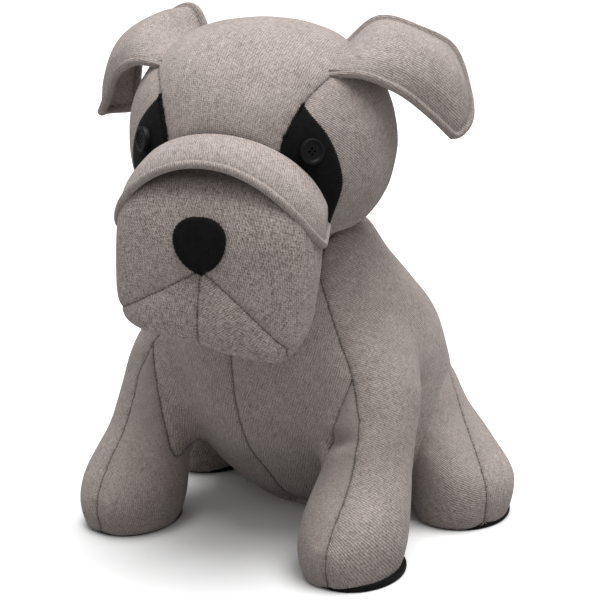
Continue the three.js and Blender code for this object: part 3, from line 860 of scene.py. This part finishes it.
def nose_outline():
    """A rounded shape, wide at the top and narrow below."""
    points = []
    for step in range(60):
        a = 2 * math.pi * step / 60
        s, c = math.sin(a), math.cos(a)
        wide = 13.6 * (1 - 0.16 * (1 - s) * (1 - s) / 2)
        rise = 12.0 if s > 0 else 13.6
        points.append((wide * math.copysign(abs(c) ** 0.86, c), NOSE_LOW + 12.6 + rise * math.copysign(abs(s) ** 0.94, s)))
    return points


def outline_distance(x, z, outline):
    """Distance to a closed outline, below zero inside, and the run along it."""
    ring = np.array(outline, float)
    ahead = np.roll(ring, -1, axis=0)
    step = ahead - ring
    length = np.linalg.norm(step, axis=1)
    start = np.concatenate([[0], np.cumsum(length)[:-1]])
    best, run = np.full(len(x), 1e9), np.zeros(len(x))
    inside = np.zeros(len(x), bool)
    for (ax, az), (sx, sz), size, begin in zip(ring, step, length, start):
        t = np.clip(((x - ax) * sx + (z - az) * sz) / size**2, 0, 1)
        d = np.hypot(x - ax - t * sx, z - az - t * sz)
        closer = d < best
        best[closer], run[closer] = d[closer], (begin + t * size)[closer]
        crosses = (az > z) != (az + sz > z)
        with np.errstate(divide="ignore", invalid="ignore"):
            at = ax + (z - az) / sz * sx
        inside ^= crosses & (x < at)
    return np.where(inside, -best, best), run


def finer(points, triangles):
    """Each triangle split in four."""
    count = len(points)
    pairs = np.sort(np.concatenate([triangles[:, [0, 1]], triangles[:, [1, 2]], triangles[:, [2, 0]]]), axis=1)
    unique, inverse = np.unique(pairs, axis=0, return_inverse=True)
    m = (count + inverse.reshape(-1)).reshape(3, -1)
    points = np.vstack([points, (points[unique[:, 0]] + points[unique[:, 1]]) / 2])
    a, b, c = triangles.T
    rows = ((a, m[0], m[2]), (m[0], b, m[1]), (m[2], m[1], c), (m[0], m[1], m[2]))
    return points, np.vstack([np.stack(row, axis=1) for row in rows])


def build_applique(name, skin, chosen, outline, lift, thick, tooth=0.3, pitch=1.3):
    """A felt shape laid on the skin: its zigzag-sewn edge is toothed and rounded."""
    points, triangles = skin.points, skin.triangles
    ring = np.array(outline)
    d, _ = outline_distance(points[:, 0], points[:, 2], outline)
    ahead = points[:, 1] < -25
    chosen = chosen & ((d < 4) & ahead)[triangles].all(axis=1)
    used, local = np.unique(triangles[chosen], return_inverse=True)
    points, triangles = points[used], local.reshape(-1, 3)
    for _ in range(2):
        points, triangles = finer(points, triangles)
    d, run = outline_distance(points[:, 0], points[:, 2], ring)
    wave = abs((run / pitch) % 1 - 0.5) * 2
    patch = Skin(points, triangles, {"edge": d + tooth * (wave - 0.5)})
    patch.cut("edge", snap=0.05)
    kept = patch.triangles[patch.side("edge")]
    inner = np.clip(-patch.field("edge") / 1.6, 0, 1)
    rise = lift + thick * np.sqrt(1 - (1 - inner) ** 2)
    points = patch.points + normals_of(patch.points, patch.triangles) * rise[:, None]
    made = piece(name, points, kept, "head", [name], head=True, thick=lift + 0.4)
    return dressed(made, felt_material(name + "_felt"))


def build_felt(skin):
    on_muzzle = skin.side("muzzle")
    for side, sign in SIDES.items():
        build_applique("eye_patch_" + side, skin, ~on_muzzle, eye_outline(sign), 0.5, 0.7)
    build_applique("nose", skin, on_muzzle, nose_outline(), 0.6, 1.9, tooth=0.25, pitch=2.0)


def laid_on(skin, points):
    """The points moved onto the head's cloth, each to the middle of the nearest few there."""
    tree = kdtree.KDTree(len(skin.points))
    for i, p in enumerate(skin.points):
        tree.insert(p, i)
    tree.balance()
    return np.array([np.mean([found[0] for found in tree.find_n(p, 6)], axis=0) for p in points])


# ---------- buttons ----------
BUTTON_RADIUS = 6.0
BUTTON_INWARDS = 2.5  # how far each button is sewn inwards of the frame's, over the curve of the head
BUTTON_STAND = 2.7  # its middle above the head's cloth, over the felt


def build_buttons(skin):
    for side, sign in SIDES.items():
        low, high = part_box("eye_button_" + side)
        centre = (np.array((low + high) / 2) - MIDDLE) / MM
        straight = turned(centre[None], -HEAD_YAW)[0]
        base = laid_on(skin, [straight - np.array([BUTTON_INWARDS * sign, 0, 0])])[0]
        outward = base - np.array(HEAD_AT)
        outward[0] *= 1.25
        outward /= np.linalg.norm(outward)
        centre = turned((base + BUTTON_STAND * outward)[None], HEAD_YAW)[0]
        deselect()
        bpy.ops.mesh.primitive_cylinder_add(vertices=48, radius=BUTTON_RADIUS * MM, depth=2.6 * MM)
        obj = bpy.context.object
        obj.name = "eye_button_" + side + "_sewn"
        bpy.ops.object.mode_set(mode="EDIT")
        bpy.ops.mesh.select_mode(type="FACE")
        bpy.ops.mesh.select_all(action="DESELECT")
        bpy.ops.object.mode_set(mode="OBJECT")
        for face in obj.data.polygons:
            face.select = face.normal.z > 0.9
        bpy.ops.object.mode_set(mode="EDIT")
        bpy.ops.mesh.inset(thickness=1.3 * MM)
        bpy.ops.transform.translate(value=(0, 0, 0.3 * MM))
        bpy.ops.mesh.inset(thickness=0.5 * MM)
        bpy.ops.transform.translate(value=(0, 0, -1.0 * MM))
        bpy.ops.object.mode_set(mode="OBJECT")
        modify(obj, "BEVEL", width=0.35 * MM, segments=2)
        for k in range(4):
            turn = math.pi / 4 + k * math.pi / 2
            deselect()
            bpy.ops.mesh.primitive_cylinder_add(
                vertices=16, radius=0.6 * MM, depth=8 * MM, location=(1.35 * MM * math.cos(turn), 1.35 * MM * math.sin(turn), 0)
            )
            drill = bpy.context.object
            modify(obj, "BOOLEAN", operation="DIFFERENCE", object=drill, solver="EXACT")
            bpy.data.objects.remove(drill)
        facing = Vector((0, 0, 1)).rotation_difference(Vector(outward)).to_matrix().to_4x4()
        yaw = Matrix.Rotation(math.radians(HEAD_YAW), 4, "Z")
        place = Vector(centre * MM + MIDDLE)
        obj.data.transform(Matrix.Translation(place) @ yaw @ facing)
        obj.data.shade_smooth()
        activate(obj)
        bpy.ops.object.shade_smooth_by_angle(angle=math.radians(35))
        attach(obj, "head")
        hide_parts("eye_button_" + side)
        dressed(obj, plastic_material("eye_button_" + side + "_plastic"))


# ---------- flaps: brow and ears ----------
def spaced(count):
    """Shares from 0 to 1, closer together at both ends."""
    return 0.5 - 0.5 * np.cos(np.pi * np.linspace(0, 1, count + 1))


def build_flap(
    name, grid, free, body, nodes, bead=2.2, hem=4.0, thick=4.6, pinch=1.4, slope=0.6, holes=0.2, line=0.42
):
    """A lined flap from its middle surface: a beaded edge, a stitched line along it with painted shade in its groove,
    and a soft middle.

    free says which of the sides are open edges: near and far across, and the outer end.
    """
    rows, columns = grid.shape[:2]
    du = np.gradient(grid, axis=1)
    dv = np.gradient(grid, axis=0)
    normal = np.cross(du, dv)
    normal /= np.maximum(np.linalg.norm(normal, axis=2, keepdims=True), 1e-9)
    border = [grid[:, 0]] * free[0] + [grid[:, -1]] * free[1] + [grid[-1]] * free[2]
    border = [
        line[:-1] * (1 - s) + line[1:] * s for line in border for s in (0.0, 0.33, 0.67, 1.0)
    ]
    border = np.vstack(border)
    flat = grid.reshape(-1, 3)
    near = np.array([np.sqrt(((border - p) ** 2).sum(axis=1).min()) for p in flat])
    rounded_edge = 2 * np.sqrt(np.maximum(0, bead**2 - (bead - np.minimum(near, bead)) ** 2))
    inner = np.interp(near, [bead, hem, hem + 1.2, hem + 8, 60], [2 * bead, pinch, pinch + 0.5, thick, thick * 1.1])
    thickness = np.where(near < bead, rounded_edge, inner)
    offset = normal.reshape(-1, 3) * thickness[:, None] / 2
    upper, lower = flat + offset, flat - offset
    index = np.arange(rows * columns).reshape(rows, columns)
    a, b, c, d = index[:-1, :-1].ravel(), index[:-1, 1:].ravel(), index[1:, 1:].ravel(), index[1:, :-1].ravel()
    faces = np.vstack([np.stack([a, b, c], 1), np.stack([a, c, d], 1)])
    # Painted shade along the stitched line: seam_near is small in the pinched groove at the hem, so the seam darkening
    # falls there; line sets how far this painted shade spreads.
    stitched = abs(near - hem)
    run = np.linalg.norm(flat - flat[0], axis=1)
    attributes = {"seam_near": np.where(stitched > 6, 12, stitched * line), "seam_run": run}
    made = []
    for label, surface, triangles, node_name in (
        ("upper", upper, faces, nodes[0]),
        ("lining", lower, faces[:, ::-1], nodes[1]),
    ):
        obj = piece(
            f"{name}_{label}", surface, triangles, body, [node_name] if node_name else [],
            attributes, head=True, thick=0.7,
        )
        dressed(obj, cloth_material(f"{name}_{label}_cloth", slope=slope, holes=holes))
        made.append(obj)
    return made


# Rows from the root to the outer end; each is front, middle and back. The root lies on the head.
EAR_ROWS = [
    [(41.5, -42, 243), (43.5, -17, 248.5), (36.5, 8, 250)],
    [(54, -39, 242), (55, -14, 255), (49, 12, 261)],
    [(69, -28, 234), (72, -6, 251), (68, 20, 256)],
    [(81, -12, 220), (87, 4, 238), (82, 24, 249)],
    [(92, 0, 205), (97, 8, 213), (93, 20, 229)],
]
# The right ear stands up steeply from the head at the back, and its outer back corner hangs lower
# and curls inwards.
EAR_TOP = {"left": (49, 12, 261), "right": (42, 11, 262)}
EAR_DROP = {"left": 0.0, "right": 24.0}
EAR_CURL = {"left": 0.0, "right": 15.0}
EAR_ROUND = 0.05
EAR_SUNK = 2.0  # how deep the root goes into the head's cloth


def ear_grid(side, skin):
    u, v = spaced(64), spaced(76)
    rows = [list(row) for row in EAR_ROWS]
    rows[1][2] = EAR_TOP[side]
    lines = [spline([row[k] for row in rows], v) for k in range(3)]
    grid = np.empty((len(v), len(u), 3))
    for j in range(len(v)):
        grid[j] = spline([line[j] for line in lines], u)
    grid[:, :, 0] -= EAR_CURL[side] * v[:, None] ** 3 * u[None] ** 1.3
    grid[:, :, 2] -= EAR_DROP[side] * v[:, None] ** 2.4 * u[None] ** 1.3
    # The outer corners are rounded by drawing them back towards the root.
    root = grid.copy()
    corner = abs(2 * u - 1) ** 6
    for i in range(len(u)):
        share = v * (1 - EAR_ROUND * corner[i])
        for axis in range(3):
            grid[:, i, axis] = np.interp(share, v, root[:, i, axis])
    grid[:, :, 0] *= SIDES[side]
    # The root is sewn down: the first part of the ear comes away from the head's cloth.
    root = laid_on(skin, grid[0])
    inwards = np.array(HEAD_AT) - root
    root = root + EAR_SUNK * inwards / np.linalg.norm(inwards, axis=1, keepdims=True)
    shift = root - grid[0]
    grid += shift[None] * np.exp(-((v / 0.12) ** 2))[:, None, None]
    return grid if side == "left" else grid[:, ::-1]


def build_ears(skin):
    for side, sign in SIDES.items():
        nodes = ("ear_upper_" + side, "ear_lining_" + side)
        build_flap("ear_" + side, ear_grid(side, skin), (1, 1, 1), "ear_" + side, nodes, slope=0.5 * sign)


# Half width, lowest height, rise to the middle, where the ends are, reach ahead of them, power of
# the arch, and squareness of the plan: the free edge follows the muzzle, the sewn one the head.
BROW_FREE = (49.5, 168.0, 40.0, -67.0, 30.0, 1.25, 3.2)
BROW_SEWN = (46.5, 172.0, 44.0, -57.0, 17.5, 0.82, 2.0)


def brow_edge(u, wide, low, rise, back, reach, power, square):
    angle = math.pi / 2 * (2 * u - 1) * 0.985
    s, c = np.sin(angle), np.cos(angle)
    ahead = (1 - abs(s) ** square) ** (1 / square)
    return np.stack([wide * s, back - reach * ahead, low + rise * c**power], axis=1)


def brow_grid():
    u, v = spaced(120), spaced(44)
    sewn, free = brow_edge(u, *BROW_SEWN), brow_edge(u, *BROW_FREE)
    grid = sewn[None] * (1 - v)[:, None, None] + free[None] * v[:, None, None]
    crown = np.sin(np.pi * v)[:, None] * np.sin(np.pi * u)[None] ** 0.5
    grid[:, :, 1] -= 1.8 * crown
    grid[:, :, 2] += 1.6 * crown
    return grid


def build_brow():
    build_flap(
        "brow", brow_grid(), (1, 1, 1), "brow", ("brow_fold", None), bead=2.1, hem=3.9, thick=5.4, slope=-0.5, line=0.45
    )


# ---------- torso, legs, tail ----------
CHEST_HALF = [(-8, 30), (16, 35), (48, 44), (94, 58), (108, 50), (142, 38), (175, 36)]
INNER_LEG_HALF = [(-8, 66), (40, 67), (76, 65), (94, 58), (94.5, 40), (175, 20)]
CHEST_BACK = 20.0
INNER_LEG_BACK = 18.0


def torso_fields(p):
    x, y, z = p.T
    chest_half = np.interp(z, *np.array(CHEST_HALF).T)
    inner_half = np.interp(z, *np.array(INNER_LEG_HALF).T)
    ball_gap = np.linalg.norm(p - np.array([0, 0, NECK_HEIGHT]), axis=1) - NECK_BALL
    return {
        "chest": np.maximum(abs(x) - chest_half, y - CHEST_BACK),
        "inner_leg": np.maximum(abs(x) - inner_half, y - INNER_LEG_BACK),
        "middle": x,
        "opening": ball_gap,
    }


def torso_seams(p):
    f = torso_fields(p)
    low = p[:, 2] < 94
    return np.stack([f["chest"], np.where(low, f["inner_leg"], 99), f["middle"]], axis=1)


def fold(points, triangles, start, end, depth, width):
    """Draws the cloth in along a short line, as where it buckles between stuffed parts."""
    start, end = np.array(start, float), np.array(end, float)
    line = end - start
    share = np.clip((points - start) @ line / (line @ line), 0, 1)
    away = np.linalg.norm(points - start - share[:, None] * line, axis=1)
    drawn = depth * np.exp(-((away / width) ** 2))
    return points - normals_of(points, triangles) * drawn[:, None]


# Short folds where the cloth buckles: start, end, depth and half width.
TORSO_FOLDS = [
    ((45, -30, 62), (66, -38, 70), 5.0, 4.0),  # between the belly and the front leg
    ((76, 38, 86), (72, 18, 66), 3.2, 5.0),  # ahead of the hind leg
    ((-76, 40, 84), (-72, 20, 66), 2.6, 5.0),
]
FOOT_BOTTOM = 1.0  # height of the cloth's lower edge


def stood(points):
    """The points with the stuffed feet flattened where they stand."""
    points = points.copy()
    points[:, 2] = np.maximum(points[:, 2], FOOT_BOTTOM)
    return points


def leg_sections(shape, foot, sign):
    x, y, wide, long = foot
    return [(z, sign * (x + dx), y + dy, wide * w, long * b) for z, dx, dy, w, b in shape]


def build_torso():
    rows = [(z, 0, (front + rear) / 2, wide, (rear - front) / 2) for z, front, rear, wide in TORSO]
    parts = [lofted(rows)]
    parts += [lofted(leg_sections(FRONT_LEG, FRONT_FOOT, sign)) for sign in SIDES.values()]
    points, triangles = stuffed(joined(parts), 2.2, torso_seams, 6)
    points = uneven(points, triangles, 0.9, 26.0, 1.7)
    for start, end, depth, width in TORSO_FOLDS:
        points = fold(points, triangles, start, end, depth, width)
    points = stood(points)
    skin = Skin(points, triangles, torso_fields(points))
    for name in ("chest", "inner_leg", "middle", "opening"):
        skin.cut(name)
    left = ~skin.side("middle")
    labels = np.where(left, 1, 2)
    inner = skin.side("inner_leg")
    labels[inner] = np.where(left, 3, 4)[inner]
    chest = skin.side("chest")
    labels[chest] = np.where(left, 5, 6)[chest]
    labels[skin.side("opening")] = 0
    kept = labels > 0
    skin.triangles, labels = skin.triangles[kept], labels[kept]
    near, run = sew(skin, labels)
    attributes = {"seam_near": near, "seam_run": run}
    names = {
        1: ("body_side_left", ["body_side_left", "torso_filling", "front_leg_filling_left"], 0.55, 0.97),
        2: ("body_side_right", ["body_side_right", "front_leg_filling_right"], -0.55, 0.97),
        3: ("front_leg_inner_left", ["front_leg_inner_left"], -0.5, 0.95),
        4: ("front_leg_inner_right", ["front_leg_inner_right"], 0.5, 0.95),
        5: ("chest_panel_left", ["chest_panel_left"], 0.0, 0.93),
        6: ("chest_panel_right", ["chest_panel_right"], 0.0, 0.93),
    }
    for label, (name, nodes, slope, shade) in names.items():
        made = piece(name, skin.points, skin.triangles[labels == label], "torso", nodes, attributes)
        dressed(made, cloth_material(name + "_cloth", slope=slope, holes=0.3, shade=shade))


def inside_torso(p):
    """How far inside the torso's sections points are, as a share: below 1 is inside."""
    rows = np.array([(z, (front + rear) / 2, wide, (rear - front) / 2) for z, front, rear, wide in TORSO])
    y, a, b = (smooth_curve(rows[:, 0], rows[:, k], p[:, 2]) for k in (1, 2, 3))
    return np.hypot(p[:, 0] / a, (p[:, 1] - y) / b)


def build_hind_legs():
    for side, sign in SIDES.items():
        turn = math.radians(-sign * HIND_SEAM_TURN)
        x, y = sign * HIND_FOOT[0], HIND_FOOT[1]

        def fields(p, turn=turn, x=x, y=y):
            ahead = -(p[:, 0] - x) * math.sin(turn) + (p[:, 1] - y) * math.cos(turn)
            return {"seam": ahead, "hidden": (inside_torso(p) - 0.86) * 60}

        body = lofted(leg_sections(HIND_LEG, HIND_FOOT, sign))
        points, triangles = stuffed(body, 2.0, lambda p, f=fields: f(p)["seam"][:, None], 3)
        points = stood(uneven(points, triangles, 0.8, 20.0, 5.3 + sign))
        skin = Skin(points, triangles, fields(points))
        skin.cut("seam")
        skin.cut("hidden")
        kept = ~skin.side("hidden")
        skin.triangles = skin.triangles[kept]
        labels = np.where(skin.side("seam"), 1, 2)
        near, run = sew(skin, labels)
        attributes = {"seam_near": near, "seam_run": run}
        for label, word in ((1, "front"), (2, "back")):
            name = f"hind_leg_{word}_{side}"
            nodes = [name] + ([f"hind_leg_filling_{side}"] if label == 1 else [])
            made = piece(name, skin.points, skin.triangles[labels == label], "torso", nodes, attributes)
            dressed(made, cloth_material(name + "_cloth", slope=0.5 * sign, holes=0.5, shade=0.96))


def build_soles():
    for node_name in ("front_sole_left", "front_sole_right", "hind_sole_left", "hind_sole_right"):
        low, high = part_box(node_name)
        deselect()
        bpy.ops.mesh.primitive_cylinder_add(vertices=96, radius=1, depth=1, end_fill_type="TRIFAN")
        obj = bpy.context.object
        obj.name = node_name + "_felt"
        half = (high - low) / 2 - Vector((0.5 * MM, 0.5 * MM, 0))
        middle = (low + high) / 2 + Vector((1.7 * MM, 1.2 * MM, 0))
        thick = 3.2 * MM
        obj.data.transform(
            Matrix.Translation((middle.x, middle.y, thick / 2)) @ Matrix.Diagonal((half.x, half.y, thick, 1))
        )
        modify(obj, "BEVEL", width=1.3 * MM, segments=4, limit_method="ANGLE")
        modify(obj, "SUBSURF", levels=1, render_levels=1)
        obj.data.shade_smooth()
        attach(obj, "torso")
        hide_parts(node_name)
        dressed(obj, felt_material(node_name + "_felt"))


def build_base():
    low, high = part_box("base_panel")
    deselect()
    bpy.ops.mesh.primitive_cylinder_add(vertices=96, radius=1, depth=1, end_fill_type="TRIFAN")
    obj = bpy.context.object
    obj.name = "base_panel_cloth"
    half, middle = (high - low) / 2, (low + high) / 2
    thick = 3.4 * MM
    obj.data.transform(Matrix.Translation((middle.x, middle.y, thick / 2)) @ Matrix.Diagonal((half.x, half.y, thick, 1)))
    modify(obj, "BEVEL", width=1.2 * MM, segments=3, limit_method="ANGLE")
    obj.data.shade_smooth()
    plain_attributes(obj)
    flat_uv(obj)
    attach(obj, "torso")
    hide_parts("base_panel")
    dressed(obj, cloth_material("base_panel_cloth", shade=0.9))


def plain_attributes(obj, near=12.0):
    for key, value in (("seam_near", near), ("seam_run", 0.0)):
        layer = obj.data.attributes.new(key, "FLOAT", "POINT")
        layer.data.foreach_set("value", np.full(len(obj.data.vertices), value, np.float32))


def flat_uv(obj, upright=False):
    """A pattern in metres laid flat on the piece from above, or wrapped round it upright."""
    mesh = obj.data
    if not mesh.uv_layers:
        mesh.uv_layers.new()
    co = points_of(obj) * MM
    index = np.empty(len(mesh.loops), dtype=np.int64)
    mesh.loops.foreach_get("vertex_index", index)
    centre = (co.max(axis=0) + co.min(axis=0)) / 2
    offset = co - centre
    if upright:
        radius = float(np.hypot(offset[:, 0], offset[:, 1]).max())
        uv = np.stack([np.arctan2(offset[:, 0], -offset[:, 1]) * radius, offset[:, 2]], axis=1)
    else:
        uv = offset[:, :2]
    mesh.uv_layers.active.uv.foreach_set("vector", uv[index].ravel())


def build_tail():
    low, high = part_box("tail_cover")
    body = ball(32, 24)
    v = unit_points(body)
    centre = (np.array((low + high) / 2) - MIDDLE) / MM
    lean = math.radians(25)
    taper = 1 - 0.16 * v[:, 2]
    shape = np.stack([v[:, 0] * 8 * taper, v[:, 1] * 8 * taper, v[:, 2] * 15.2], axis=1)
    y = shape[:, 1] * math.cos(lean) + shape[:, 2] * math.sin(lean)
    z = -shape[:, 1] * math.sin(lean) + shape[:, 2] * math.cos(lean)
    put_points(body, np.stack([shape[:, 0], y, z], axis=1) + centre)
    modify(body, "SUBSURF", levels=1, render_levels=1)
    points, triangles = points_of(body), triangles_of(body)
    bpy.data.objects.remove(body)
    skin = Skin(points, triangles, {"middle": points[:, 0]})
    skin.cut("middle", snap=0.05)
    labels = np.where(skin.side("middle"), 1, 2)
    near, run = sew(skin, labels, depth=0.6, width=1.2)
    for label, word, nodes in ((2, "left", ["tail_cover", "tail_filling"]), (1, "right", [])):
        made = piece(
            "tail_" + word, skin.points, skin.triangles[labels == label], "tail", nodes,
            {"seam_near": near, "seam_run": run}, thick=0.8,
        )
        dressed(made, cloth_material(f"tail_{word}_cloth", shade=0.97))


def build_neck():
    obj = ball(64, 32)
    put_points(obj, unit_points(obj) * (NECK_BALL - 0.3) + np.array([0, 0, NECK_HEIGHT]))
    obj.name = "neck_cover"
    obj.data.shade_smooth()
    plain_attributes(obj)
    flat_uv(obj, upright=True)
    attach(obj, "neck")
    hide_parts("neck_filling")
    dressed(obj, cloth_material("neck_cover_cloth", shade=0.9))


# ---------- studio ----------
def build_studio():
    deselect()
    bpy.ops.mesh.primitive_plane_add(size=8)
    floor = bpy.context.object
    floor.name = "studio_floor"
    made, tree, shader = material("studio_paper")
    place = node(tree, "ShaderNodeTexCoord")
    paper = noise_value(tree, place.outputs["Object"], 40.0)
    seen = mixed(tree, paper, (0.9, 0.9, 0.9, 1), (0.93, 0.93, 0.93, 1))
    # The paper shows pale, and throws less light up on the dog than it would so close.
    rays = node(tree, "ShaderNodeLightPath")
    colour = mixed(tree, rays.outputs["Is Camera Ray"], (0.32, 0.32, 0.32, 1), seen)
    tree.links.new(colour, shader.inputs["Base Color"])
    shader.inputs["Roughness"].default_value = 0.9
    shader.inputs["Specular IOR Level"].default_value = 0.1
    floor.data.materials.append(made)

    world = bpy.data.worlds.new("studio")
    bpy.context.scene.world = world
    world.use_nodes = True
    background = world.node_tree.nodes["Background"]
    background.inputs[0].default_value = (1, 1, 1, 1)
    background.inputs[1].default_value = 0.45

    # One broad soft light from above, a little behind, and a weak one from ahead.
    for name, place, strength, spread in (
        ("above", (0.2, 0.05, 1.5), 4.0, 50.0),
        ("ahead", (-0.4, -1.2, 0.8), 0.12, 60.0),
    ):
        data = bpy.data.lights.new(name, "SUN")
        data.energy = strength
        data.angle = math.radians(spread)
        lamp = bpy.data.objects.new(name, data)
        lamp.location = place
        lamp.rotation_euler = (-Vector(place)).to_track_quat("-Z", "Y").to_euler()
        bpy.context.scene.collection.objects.link(lamp)


CAMERA_LENS = 120.0
CAMERA_DISTANCE = 1.0
CAMERA_AZIMUTH = 30.6
CAMERA_ELEVATION = 16.7
CAMERA_TARGET = Vector((0.01145, 0.00677, 0.1192))  # from the floor under the neck


def build_camera():
    data = bpy.data.cameras.new("camera")
    data.lens = CAMERA_LENS
    data.sensor_width = 36.0
    camera = bpy.data.objects.new("camera", data)
    bpy.context.scene.collection.objects.link(camera)
    a, e = math.radians(CAMERA_AZIMUTH), math.radians(CAMERA_ELEVATION)
    back = Vector((math.sin(a) * math.cos(e), -math.cos(a) * math.cos(e), math.sin(e)))
    camera.location = Vector((NECK.x, NECK.y, 0)) + CAMERA_TARGET + back * CAMERA_DISTANCE
    camera.rotation_euler = (-back).to_track_quat("-Z", "Y").to_euler()
    bpy.context.scene.camera = camera
    bpy.context.scene.view_settings.view_transform = "Standard"


build_camera()
build_studio()
head = build_head()
build_felt(head)
build_buttons(head)
build_brow()
build_ears(head)
build_torso()
build_hind_legs()
build_soles()
build_base()
build_tail()
build_neck()
